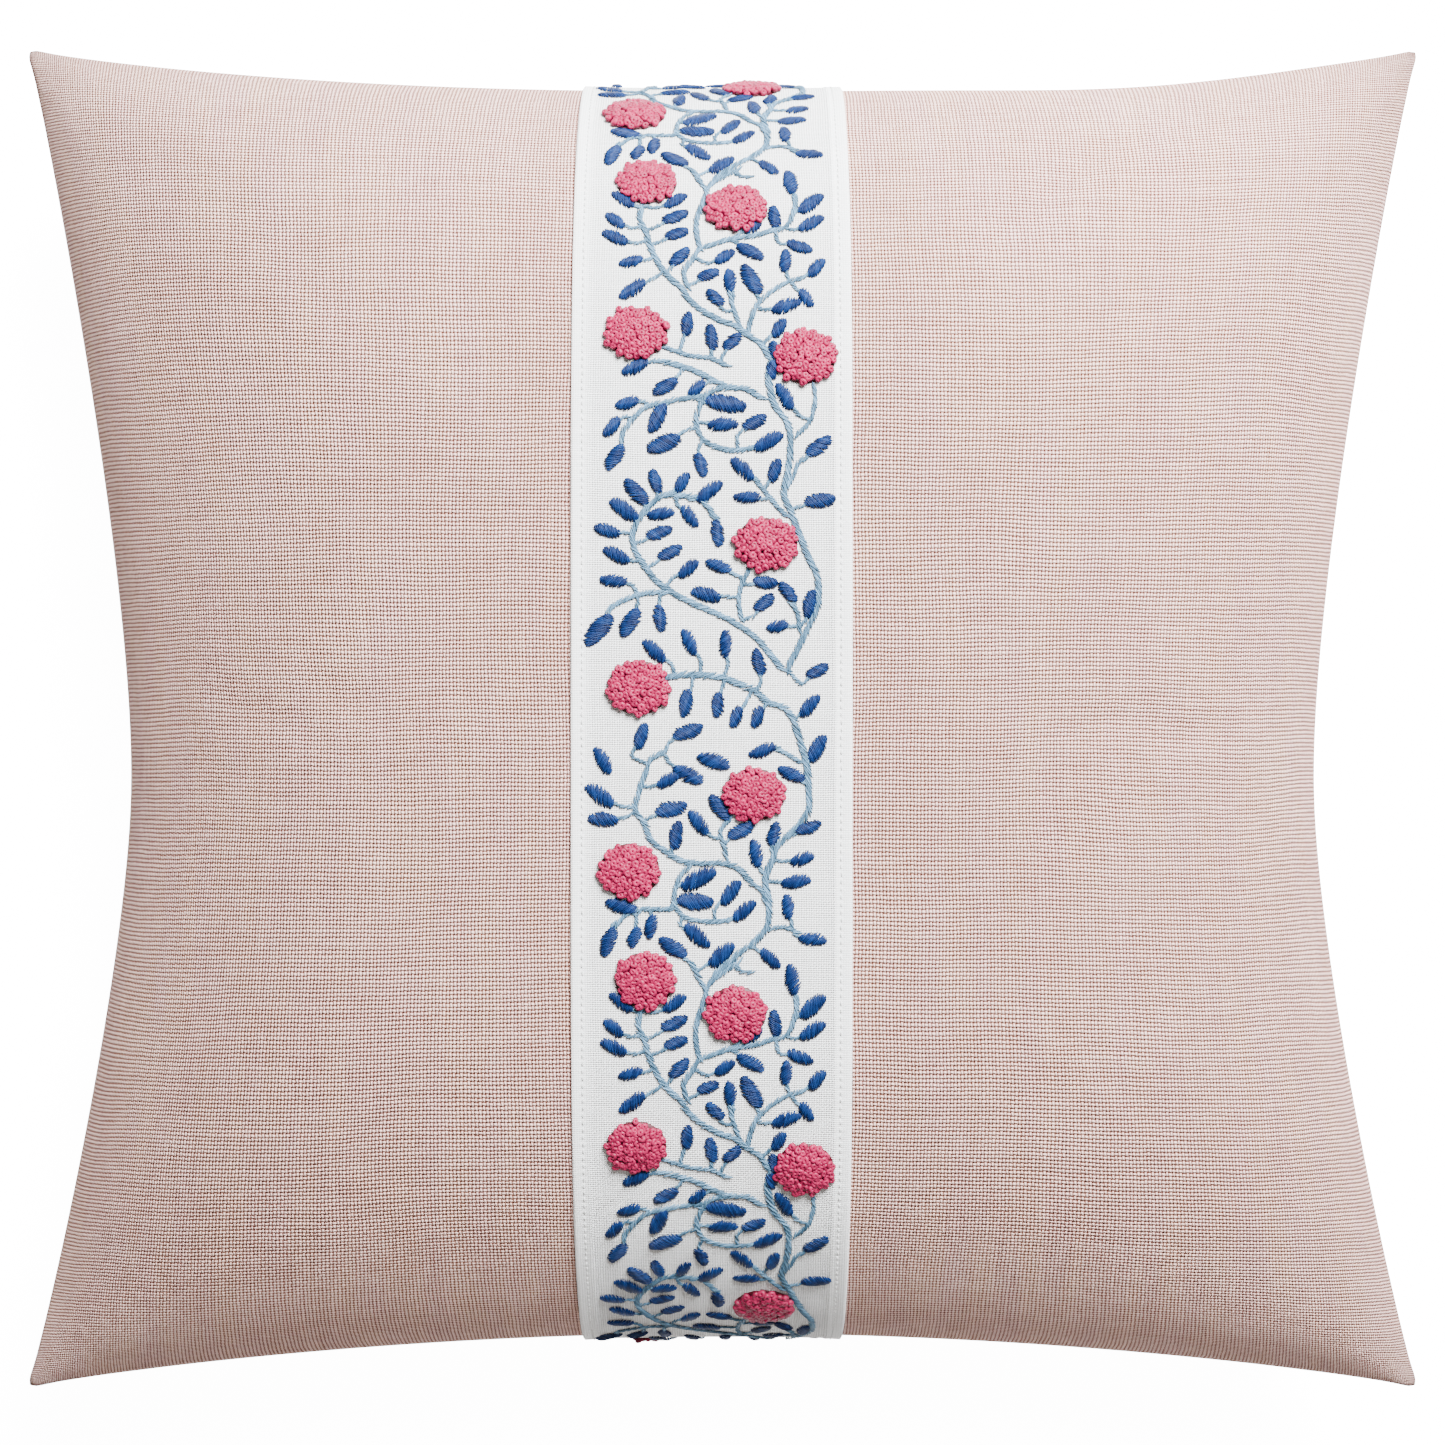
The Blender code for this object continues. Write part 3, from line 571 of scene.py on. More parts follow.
def panel(name, surface, finish, rings, flipped):
    """A panel: a grid of the surface, the rings that carry its edge to the seam, and its turn-in."""
    even = np.linspace(-1, 1, PANEL_POINTS)
    share = 0.55 * even + 0.45 * np.sin(even * math.pi / 2)
    u, v = np.meshgrid(share, share, indexing="ij")
    index = np.arange(u.size).reshape(u.shape)
    edge = border(index)
    edge_u, edge_v = u.reshape(-1)[edge], v.reshape(-1)[edge]
    out_u = np.where(np.abs(edge_u) > 0.9999, np.sign(edge_u), 0)
    out_v = np.where(np.abs(edge_v) > 0.9999, np.sign(edge_v), 0)
    points = [surface(u, v).reshape(-1, 3)]
    uv = [np.stack([cloth_u(u), cloth_v(v)], axis=-1).reshape(-1, 2)]
    faces = [grid_quads(index, flipped)]
    last = edge
    for turn in rings:
        points.append(surface(edge_u, edge_v, turn))
        beyond = turn * ROLL_LENGTH
        uv.append(np.stack([cloth_u(edge_u) + out_u * beyond, cloth_v(edge_v) + out_v * beyond], -1))
        following = sum(len(p) for p in points[:-1]) + np.arange(len(edge))
        faces.append(ring_quads(last, following, flipped))
        last = following
    seam = surface(edge_u, edge_v, 1.0)
    x, y = plan(edge_u, edge_v, -TURN_IN)
    points.append(np.stack([x, y, seam[:, 2]], axis=-1))
    uv.append(uv[-1] if rings else np.stack([cloth_u(edge_u), cloth_v(edge_v)], -1))
    following = sum(len(p) for p in points[:-1]) + np.arange(len(edge))
    faces.append(ring_quads(last, following, flipped))
    obj = make_piece(name, np.concatenate(points), faces, finish, uv=np.concatenate(uv))
    wall = obj.modifiers.new("cloth_thickness", "SOLIDIFY")
    wall.thickness = LINEN
    wall.offset = -1.0
    return obj


# ======== the band and what is sewn to it ========


def band_place(across, along, height):
    """A place on the band: this far across and along the cloth, and this high above the panel.

    It is P + height * N, with P on the cover's front at the share that lies so far along, carried
    on round the roll past the widest line, and N the normal from small steps of P both ways.
    """
    across, along, height = np.broadcast_arrays(across, along, height)
    waist = CORNER_X - SIDE_PULL

    def on_cover(p, q):
        v = np.interp(q, ALONG, FINE)
        past = np.maximum(np.abs(q) - np.where(q > 0, ALONG[-1], -ALONG[0]), 0)
        return cover_front((BAND_MIDDLE + p) / waist, v, np.clip(past / ROLL_LENGTH, 0, 1))

    step = 0.0004
    forward = on_cover(across, along + step) - on_cover(across, along - step)
    sideways = on_cover(across + step, along) - on_cover(across - step, along)
    normal = np.cross(sideways, forward)
    normal = normal / np.maximum(np.linalg.norm(normal, axis=-1, keepdims=True), 1e-12)
    return on_cover(across, along) + normal * height[..., None], normal


BAND_START = ALONG[0] - 0.72 * ROLL_LENGTH
BAND_END = ALONG[-1] + 0.80 * ROLL_LENGTH


def hem_height(across, along):
    """Height of the band's upper face above its cloth: a doubled hem, drawn down by each stitch.

    The dip is a bell across the stitch line times |cos| of the place in the stitch's pitch.
    """
    edge = BAND_WIDTH / 2 - np.abs(across)
    hem = HEM_RISE * smooth_step(HEM_WIDTH + 0.0006, HEM_WIDTH - 0.0004, edge)
    bell = np.exp(-(((edge - STITCH_INSET) / 0.0009) ** 2))
    pull = np.abs(np.cos(math.pi * along / STITCH_PITCH)) ** 3
    return hem - STITCH_DIP * bell * (0.35 + 0.65 * pull)


def make_band(finish):
    """The band: a closed profile, round at both edges, carried along the cover from seam to seam."""
    half = BAND_WIDTH / 2
    near = np.array([0.0004, 0.0012, 0.0022, 0.0030, 0.0034, 0.0038, 0.0042, 0.0046, 0.0054, 0.0059])
    near = np.concatenate([near, [0.0064, 0.0072, 0.0100]])
    middle = np.linspace(-half + 0.014, half - 0.014, 17)
    top = np.concatenate([-half + near, middle, (half - near)[::-1]])
    bottom = np.linspace(half - 0.0004, -half + 0.0004, 20)
    along = np.arange(BAND_START, BAND_END, STITCH_PITCH / 4)
    p = np.concatenate([[-half], top, [half], bottom])
    q = np.broadcast_to(along[:, None], (len(along), len(p)))
    p = np.broadcast_to(p, q.shape)
    height = np.full(p.shape, LAYER_GAP)
    height[:, 1 : len(top) + 1] = LAYER_GAP + TAPE + hem_height(p, q)[:, 1 : len(top) + 1]
    height[:, [0, len(top) + 1]] = LAYER_GAP + (TAPE + HEM_RISE) / 2
    points, _ = band_place(p, q, height)
    index = np.arange(p.size).reshape(p.shape)
    wrapped = np.concatenate([index, index[:, :1]], axis=1)
    faces = [grid_quads(wrapped, True), index[:1], index[-1:, ::-1]]
    return make_piece("embroidered_band", points.reshape(-1, 3), faces, finish,
                      uv=np.stack([p, q], axis=-1).reshape(-1, 2))


def stitch_row(name, side, finish):
    """Running stitches along one edge of the band: arched threads with their ends in the cloth."""
    starts = np.arange(BAND_START + 0.004, BAND_END - 0.004, STITCH_PITCH)
    starts = (np.floor(starts / STITCH_PITCH) + 0.5) * STITCH_PITCH
    share = np.linspace(-1, 1, 6)
    along = starts[:, None] + share * STITCH_PITCH * 0.44
    across = side * (BAND_WIDTH / 2 - STITCH_INSET) + rng.normal(0, 0.00006, starts.shape)[:, None]
    arch = LAYER_GAP + TAPE + HEM_RISE - STITCH_DIP + STITCH_THREAD * (0.55 - 0.9 * share**2)
    paths, normal = band_place(np.broadcast_to(across, along.shape), along, arch + 0 * along)
    taper = np.sqrt(np.clip(1.05 - share**2, 0.05, 1)) * STITCH_THREAD / 2 + 0 * along
    points, faces, uv, number = tubes(paths, normal, taper, taper)
    tone = rng.random(len(starts))[number]
    return make_piece(name, points, faces, finish, corner_uv=uv, tone=tone)


def repeated(places):
    """The places, across and along, in each of the three repeats that can reach the band."""
    shifts = np.array([-1, 0, 1])[:, None, None] * np.array([0.0, PATTERN_REPEAT])
    return (places[None] + shifts + [0.0, STEM_SHIFT]).reshape(-1, 2)


def curve_through(places, step):
    """Points every step along the cubic Hermite curve through places, and the directions there."""
    places = np.asarray(places, float)
    chord = np.concatenate([[0.0], np.cumsum(np.linalg.norm(np.diff(places, axis=0), axis=1))])
    slope = np.gradient(places, chord, axis=0)
    at = np.arange(step / 2, chord[-1], step)
    cell = np.clip(np.searchsorted(chord, at) - 1, 0, len(chord) - 2)
    span = (chord[cell + 1] - chord[cell])[:, None]
    t = (at - chord[cell])[:, None] / span
    point = (2 * t**3 - 3 * t**2 + 1) * places[cell] + (3 * t**2 - 2 * t**3) * places[cell + 1]
    point = point + (t**3 - 2 * t**2 + t) * span * slope[cell] + (t**3 - t**2) * span * slope[cell + 1]
    ahead = np.gradient(point, axis=0) if len(point) > 1 else slope[cell]
    return point, ahead / np.linalg.norm(ahead, axis=1, keepdims=True)


def laid_threads(name, centres, directions, lengths, half_width, arch, low, finish, places=6):
    """Straight threads laid on the band, each arched over its middle by arch * (1 - s^2)."""
    share = np.linspace(-1, 1, places)
    spread = directions[:, None] * (share[:, None] * lengths[:, None, None] / 2)
    flat = centres[:, None] + spread
    inside = (flat[..., 1] > BAND_START + 0.003) & (flat[..., 1] < BAND_END - 0.003)
    keep = inside.all(axis=1) & (np.abs(flat[..., 0]) < BAND_WIDTH / 2 - 0.001).all(axis=1)
    flat, arch, half_width = flat[keep], arch[keep], half_width[keep]
    height = LAYER_GAP + TAPE + low[keep][:, None] + arch[:, None] * (1 - share**2)
    paths, normal = band_place(flat[..., 0], flat[..., 1], height)
    taper = np.clip(1.04 - np.abs(share) ** 5, 0.25, 1) * half_width[:, None]
    points, faces, uv, number = tubes(paths, normal, taper, taper * 0.85)
    tone = rng.random(len(flat))[number]
    return make_piece(name, points, faces, finish, corner_uv=uv, tone=tone)


def stem_threads():
    """Stem stitch: along each stem, threads laid across its line at a slant, a pitch apart.

    Each leaf is tied in by a short run of them, from the stem's point nearest to the leaf's axis
    carried back past its base.
    """
    slant = math.radians(27)
    pitch = 0.00115
    runs = [(width / 1000, np.array(places) / 1000) for width, *places in STEMS]
    dense = np.concatenate([curve_through(places, 0.0006)[0] for _, places in runs])
    dense = repeated(dense) - [0.0, STEM_SHIFT]
    leaves = np.array(LEAVES) / 1000
    base, tip = leaves[:, :2], leaves[:, 2:]
    axis = (tip - base) / np.linalg.norm(tip - base, axis=1, keepdims=True)
    aim = base - axis * 0.0030
    nearest = dense[np.argmin(np.linalg.norm(dense[None] - aim[:, None], axis=2), axis=1)]
    gap = np.linalg.norm(nearest - base, axis=1)
    for start, bottom, along, far in zip(nearest, base, axis, gap):
        if 0.0012 < far < 0.0100:
            bend = bottom - along * far * 0.35
            runs.append((0.0016, np.array([start, bend, bottom + along * 0.0008])))
    centres, directions, lengths, low = [], [], [], []
    for width, places in runs:
        middle, ahead = curve_through(places, pitch)
        square = np.stack([-ahead[:, 1], ahead[:, 0]], axis=1)
        centres.append(middle + rng.normal(0, 0.00008, middle.shape))
        lean = slant + rng.normal(0, 0.05, len(middle))
        directions.append(ahead * np.cos(lean)[:, None] + square * np.sin(lean)[:, None])
        lengths.append(np.full(len(middle), width / math.sin(slant) * 0.86))
        low.append(0.00014 + 0.00016 * (np.arange(len(middle)) % 2))
    fields = [np.concatenate(field) for field in (centres, directions, lengths, low)]
    return [repeated(fields[0]), *[np.concatenate([f] * 3) for f in fields[1:]]]


def leaf_threads():
    """Satin stitch: threads laid across each leaf at a slant, from edge to edge.

    A leaf t of the way along has the half-width W * (4 s (1 - s))^0.55 with s = t^0.88, so it is
    widest a little before its middle and pointed at both ends.
    """
    leaves = np.array(LEAVES) / 1000
    centres, directions, lengths = [], [], []
    for x0, y0, x1, y1 in leaves:
        base, tip = np.array([x0, y0]), np.array([x1, y1])
        long = np.linalg.norm(tip - base) * 0.97
        axis = (tip - base) / np.linalg.norm(tip - base)
        square = np.array([-axis[1], axis[0]]) * rng.choice([-1, 1])
        count = int(round(long / 0.00062))
        t = (np.arange(count) + 0.5) / count
        s = t**0.88
        half = np.clip(0.285 * long, 0.0025, 0.0034) * (4 * s * (1 - s)) ** 0.55
        lean = LEAF_SLANT + rng.normal(0, 0.05, count)
        direction = square * np.cos(lean)[:, None] + axis * np.sin(lean)[:, None]
        centres.append(base + axis * (t * long)[:, None] + rng.normal(0, 0.00005, (count, 2)))
        directions.append(direction)
        lengths.append(2 * half / math.cos(LEAF_SLANT) * rng.normal(1, 0.05, count))
    centres, directions, lengths = (np.concatenate(f) for f in (centres, directions, lengths))
    return repeated(centres), np.tile(directions, (3, 1)), np.tile(lengths, 3)


def make_leaves(finish):
    """The leaves: slanting satin stitches laid side by side, arched over the cloth."""
    centres, directions, lengths = leaf_threads()
    arch = np.clip(lengths * LEAF_ARCH, LEAF_ARCH_LEAST, LEAF_ARCH_MOST)
    low = rng.uniform(0.0001, 0.0002, len(lengths))
    width = np.full(len(lengths), LEAF_STRAND)
    return laid_threads("leaves", centres, directions, lengths, width, arch, low, finish)


def make_stems(finish):
    """The stems: stem stitch, a rope of short slanting threads along each twig."""
    centres, directions, lengths, low = stem_threads()
    arch = np.clip(lengths * STEM_ARCH, STEM_ARCH_LEAST, STEM_ARCH_MOST)
    width = np.full(len(lengths), STRAND)
    return laid_threads("stems", centres, directions, lengths, width, arch, low, finish)


def knot_shape(around=9, across=8):
    """One French knot: a wound bead with a small pit in its crown, and its UV.

    At the turn a round it and b over it, its radius is 0.52 + 0.48 cos b, a ring whose hole has all
    but closed, and its height is 0.62 |sin b|^k, with k 0.40 on the ring's inner side and 0.85 on
    its outer side. Its radius ripples three times round it and its height twice, as the windings do.
    """
    a = (np.arange(around) * math.tau / around)[:, None]
    b = ((np.arange(across) + 0.5) * math.tau / across)[None]
    radius = (0.52 + 0.48 * np.cos(b)) * (1 + 0.07 * np.cos(3 * a))
    power = np.where(np.cos(b) < 0, 0.40, 0.85)
    rise = 0.62 * np.sign(np.sin(b)) * np.abs(np.sin(b)) ** power * (1 + 0.06 * np.cos(2 * a))
    points = np.stack([radius * np.cos(a), radius * np.sin(a), rise], axis=-1)
    index = np.arange(around * across).reshape(around, across)
    next_a, next_b = np.roll(index, -1, 0), np.roll(index, -1, 1)
    quads = np.stack([index, next_a, np.roll(next_a, -1, 1), next_b], axis=-1).reshape(-1, 4)
    i, j = np.meshgrid(np.arange(around), np.arange(across), indexing="ij")
    corner = np.stack([[i, j], [i + 1, j], [i + 1, j + 1], [i, j + 1]], axis=0)
    uv = np.moveaxis(corner, 1, -1) / np.array([around, across])
    return points.reshape(-1, 3), quads, np.moveaxis(uv, 0, 2).reshape(-1, 2)


def make_flower(name, across, along, finish):
    """A flower head: French knots packed in a sunflower's spiral over a low dome.

    The k-th knot stands at the golden angle times k, at R * sqrt(k / count) from the middle.
    """
    seed = np.arange(KNOTS_IN_HEAD) + 0.5
    angle = seed * GOLDEN_TURN + rng.uniform(0, math.tau)
    wide, deep = rng.uniform(0.99, 1.05), rng.uniform(0.86, 0.93)
    far = (FLOWER_RADIUS - KNOT_RADIUS) * np.sqrt(seed / KNOTS_IN_HEAD)
    far = far * (1 + rng.normal(0, 0.012, far.shape))
    p = across + far * np.cos(angle) * wide + rng.normal(0, 0.0002, far.shape)
    q = along + far * np.sin(angle) * deep + rng.normal(0, 0.0002, far.shape)
    dome = FLOWER_RISE * (1 - (far / FLOWER_RADIUS) ** 2)
    keep = (q > BAND_START + 0.002) & (q < BAND_END - 0.002)
    p, q, dome, far = p[keep], q[keep], dome[keep], far[keep]
    size = KNOT_RADIUS * rng.normal(1, 0.06, len(p))
    height = LAYER_GAP + TAPE + 0.45 * size + dome * 0.72 + rng.normal(0, 0.00010, len(p))
    centre, normal = band_place(p, q, height)
    outwards = np.stack([p - across, q - along], axis=-1) / FLOWER_RADIUS
    tilt = outwards * 0.45 + rng.normal(0, 0.22, (len(p), 2))
    up = normal + tilt[:, :1] * [1, 0, 0] + tilt[:, 1:] * [0, 1, 0]
    up = up / np.linalg.norm(up, axis=1, keepdims=True)
    right = np.cross(up, np.stack([np.cos(angle[keep]), np.sin(angle[keep]), 0 * p], axis=-1))
    right = right / np.linalg.norm(right, axis=1, keepdims=True)
    ahead = np.cross(up, right)
    shape, quads, uv = knot_shape()
    oval = rng.uniform(0.88, 1.12, (len(p), 1))
    local = shape[None] * size[:, None, None]
    points = centre[:, None] + right[:, None] * (local[..., :1] * oval[:, None])
    points = points + ahead[:, None] * (local[..., 1:2] / oval[:, None]) + up[:, None] * local[..., 2:]
    faces = (quads[None] + np.arange(len(p))[:, None, None] * len(shape)).reshape(-1, 4)
    number = np.repeat(np.arange(len(p)), len(shape))
    tone = rng.random(len(p))[number]
    lift = np.tile(shape[:, 2], len(p)) + 0.5
    turns = np.arange(16) * math.tau / 16
    rings = [(0.08, 0.5), (0.55, 0.42), (0.86, 0.15), (0.90, -0.05)]
    bed = [band_place(across + FLOWER_RADIUS * wide * r * np.cos(turns),
                      np.clip(along + FLOWER_RADIUS * deep * r * np.sin(turns), BAND_START, BAND_END),
                      LAYER_GAP + TAPE + FLOWER_RISE * h + 0 * turns)[0] for r, h in rings]
    bed_index = np.arange(len(rings) * 16).reshape(len(rings), 16) + len(points) * len(shape)
    bed_faces = np.concatenate([ring_quads(x, y) for x, y in zip(bed_index[:-1], bed_index[1:])])
    caps = np.stack([bed_index[0], bed_index[-1, ::-1]])
    all_points = np.concatenate([points.reshape(-1, 3), *bed])
    # The bed under the knots takes tone and lift 0, so it is all deep rose: painted shade between the
    # knots.
    filler = np.zeros(len(rings) * 16)
    corner_uv = np.concatenate([np.tile(uv, (len(p), 1)), np.zeros((bed_faces.size + caps.size, 2))])
    return make_piece(name, all_points, [faces, bed_faces, caps], finish, corner_uv=corner_uv,
                      tone=np.concatenate([tone, filler]), lift=np.concatenate([lift, filler]))


# ======== seam stitches, zip coils and the insert ========


def make_seam_stitches(finish):
    """The stitches of the three sewn seams, a pitch apart, each bridging the two panels' edges."""
    t = np.linspace(-1, 1, 160)
    u = np.concatenate([np.full_like(t, -1), t, np.full_like(t, 1)])
    v = np.concatenate([t, np.full_like(t, 1), t[::-1]])
    x, y = plan(u, v, -TURN_IN * 0.7)
    line = np.stack([x, y, np.full_like(x, SEAM_HEIGHT)], axis=-1)
    steps = np.concatenate([[0.0], np.cumsum(np.linalg.norm(np.diff(line, axis=0), axis=1))])
    starts = np.arange(0.004, steps[-1] - 0.004, STITCH_PITCH)
    share = np.linspace(-1, 1, 5)
    at = starts[:, None] + share * STITCH_PITCH * 0.46
    paths = np.stack([np.interp(at, steps, line[:, k]) for k in range(3)], axis=-1)
    paths[..., 2] += share * SEWN_GAP
    thick = np.full(at.shape, STITCH_THREAD / 2)
    points, faces, uv, number = tubes(paths, np.broadcast_to([0.0, 0, 1], paths.shape), thick, thick)
    tone = rng.random(len(starts))[number]
    return make_piece("seam_stitches", points, faces, finish, corner_uv=uv, tone=tone)


def on_arc(distance, inset, z):
    """A place this far along the bottom seam from its middle and this far inside it."""
    radius = arc_radius()
    angle = distance / radius
    x = (radius + inset) * np.sin(angle)
    y = (radius + inset) * np.cos(angle) - (CORNER_Y - BOTTOM_PULL) - radius
    return np.stack([x, y, SEAM_HEIGHT + z + 0 * x], axis=-1)


def make_coil(name, side, finish):
    """One side's coil: a wire wound in a flat helix along the seam, one turn to each tooth."""
    turns = int(ZIP_OPENING / COIL_PITCH)
    along = np.linspace(-ZIP_OPENING / 2 + 0.001, ZIP_OPENING / 2 - 0.001, turns * 10)
    angle = (along + (side > 0) * COIL_PITCH / 2) / COIL_PITCH * math.tau
    reach = COIL_WIDTH / 2 - COIL_WIRE
    middle = side * (COIL_SPACING / 2 + COIL_WIDTH / 2)
    path = on_arc(along, ZIP_INSET + reach + COIL_WIRE + reach * np.cos(angle),
                  middle + reach * np.sin(angle))[None]
    up = np.zeros_like(path)
    up[..., 0] = 1.0
    thick = np.full(path.shape[:2], COIL_WIRE)
    points, faces, uv, number = tubes(path, up, thick, thick)
    return make_piece(name, points, faces, finish, corner_uv=uv, tone=0.0 * number)


def insert_side(u, v, out, front):
    """One side of the insert: the cover's plan drawn in, and its own rim raised or dropped by a crown."""
    x, y = plan(u, v, out - INSERT_INSET)
    middle = SEAM_HEIGHT + INSERT_SEAM_RISE
    inside = LINEN + STUFFING_GAP
    if front:
        z = middle + (SEAM_HEIGHT + ROLL_RISE + FRONT_CROWN - inside + out - middle) * crown(u) * crown(v)
        return np.stack([x, y, z - 0.0045 * crown(u) * crown(v)], axis=-1)
    lowest = SEAM_HEIGHT - BACK_CROWN + inside - out
    z = middle + (lowest - middle) * crown(u) * crown(v)
    return np.stack([x, y, np.maximum(z, inside - out)], axis=-1)


def make_pad(name, out, finish):
    """A closed pad: its front and its back grids share the ring of points at the seam."""
    even = np.linspace(-1, 1, INSERT_POINTS)
    share = 0.55 * even + 0.45 * np.sin(even * math.pi / 2)
    u, v = np.meshgrid(share, share, indexing="ij")
    index = np.arange(u.size).reshape(u.shape)
    below = index + u.size
    edge = np.zeros(u.shape, bool)
    edge[[0, -1]] = edge[:, [0, -1]] = True
    below = np.where(edge, index, below)
    points = np.concatenate([insert_side(u, v, out, side).reshape(-1, 3) for side in (True, False)])
    used = np.unique(np.concatenate([index.ravel(), below.ravel()]))
    renumber = np.zeros(len(points), int)
    renumber[used] = np.arange(len(used))
    uv = np.tile(np.stack([cloth_u(u), cloth_v(v)], axis=-1).reshape(-1, 2), (2, 1))[used]
    faces = [renumber[grid_quads(index)], renumber[grid_quads(below, True)]]
    return make_piece(name, points[used], faces, finish, uv=uv)


# ======== finishes ========


class Finish:
    """A procedural material in the making: its Principled shader, and short ways to add nodes."""

    def __init__(self, name, roughness, metallic=0.0, specular=0.5, sheen=0.0):
        """Starts the material, with its shader's plain values set."""
        self.material = bpy.data.materials.new(name)
        self.material.use_nodes = True
        self.tree = self.material.node_tree
        self.shader = self.tree.nodes["Principled BSDF"]
        self.shader.inputs["Roughness"].default_value = roughness
        self.shader.inputs["Metallic"].default_value = metallic
        self.shader.inputs["Specular IOR Level"].default_value = specular
        self.shader.inputs["Sheen Weight"].default_value = sheen
        self.shader.inputs["Sheen Roughness"].default_value = 0.45

    def feed(self, socket, value):
        """Links a socket to an input, or sets the input to a number."""
        if isinstance(value, bpy.types.NodeSocket):
            self.tree.links.new(value, socket)
        else:
            socket.default_value = value

    def math(self, operation, *values, clamp=False):
        """One step of arithmetic on numbers or sockets."""
        node = self.tree.nodes.new("ShaderNodeMath")
        node.operation = operation
        node.use_clamp = clamp
        for socket, value in zip(node.inputs, values):
            self.feed(socket, value)
        return node.outputs[0]

    def times(self, first, second, clamp=False):
        """The product of two numbers or sockets."""
        return self.math("MULTIPLY", first, second, clamp=clamp)

    def plus(self, first, second, clamp=False):
        """The sum of two numbers or sockets."""
        return self.math("ADD", first, second, clamp=clamp)

    def minus(self, first, second, clamp=False):
        """The first number or socket less the second."""
        return self.math("SUBTRACT", first, second, clamp=clamp)

    def coordinates(self, kind):
        """The texture coordinates of this kind, such as UV or Object."""
        return self.tree.nodes.new("ShaderNodeTexCoord").outputs[kind]

    def split(self, vector):
        """The three parts of a vector."""
        node = self.tree.nodes.new("ShaderNodeSeparateXYZ")
        self.feed(node.inputs[0], vector)
        return node.outputs[0], node.outputs[1], node.outputs[2]

    def join(self, x, y, z=0.0):
        """A vector from its three parts."""
        node = self.tree.nodes.new("ShaderNodeCombineXYZ")
        for socket, value in zip(node.inputs, (x, y, z)):
            self.feed(socket, value)
        return node.outputs[0]

    def stretched(self, x, across, y, along):
        """The place (x, y), scaled by a number each way."""
        return self.join(self.times(x, across), self.times(y, along))

    def brighten(self, colour, share):
        """The colour multiplied by this share of itself."""
        return self.blend(1.0, colour, self.join(share, share, share), "MULTIPLY")

    def noise(self, vector, scale, detail=2.0):
        """Smooth noise about 0.5, with this many waves to a unit of the vector."""
        node = self.tree.nodes.new("ShaderNodeTexNoise")
        self.feed(node.inputs["Vector"], vector)
        node.inputs["Scale"].default_value = scale
        node.inputs["Detail"].default_value = detail
        return node.outputs[0]

    def speckle(self, vector):
        """An unrelated value from 0 to 1 for each place."""
        node = self.tree.nodes.new("ShaderNodeTexWhiteNoise")
        self.feed(node.inputs["Vector"], vector)
        return node.outputs[0]

    def attribute(self, name):
        """A value that the mesh carries at its points."""
        node = self.tree.nodes.new("ShaderNodeAttribute")
        node.attribute_name = name
        return node.outputs["Fac"]

    def remap(self, value, low, high, to_low, to_high):
        """Carries low to to_low and high to to_high in a straight line, and holds beyond them."""
        node = self.tree.nodes.new("ShaderNodeMapRange")
        for socket, number in zip(node.inputs, (value, low, high, to_low, to_high)):
            self.feed(socket, number)
        return node.outputs[0]

    def blend(self, share, first, second, kind="MIX"):
        """Mixes two colours, by this share of the second."""
        node = self.tree.nodes.new("ShaderNodeMix")
        node.data_type = "RGBA"
        node.blend_type = kind
        self.feed(node.inputs[0], share)
        for socket, colour in ((node.inputs[6], first), (node.inputs[7], second)):
            self.feed(socket, (*colour, 1.0) if isinstance(colour, tuple) else colour)
        return node.outputs[2]

    def bump(self, height, depth, strength=1.0):
        """Roughens the finish by a height, this many metres deep."""
        node = self.tree.nodes.new("ShaderNodeBump")
        node.inputs["Distance"].default_value = depth
        node.inputs["Strength"].default_value = strength
        self.feed(node.inputs["Height"], height)
        self.feed(self.shader.inputs["Normal"], node.outputs[0])

    def done(self, colour):
        """Takes the colour and gives the finished material."""
        self.feed(self.shader.inputs["Base Color"], colour)
        return self.material


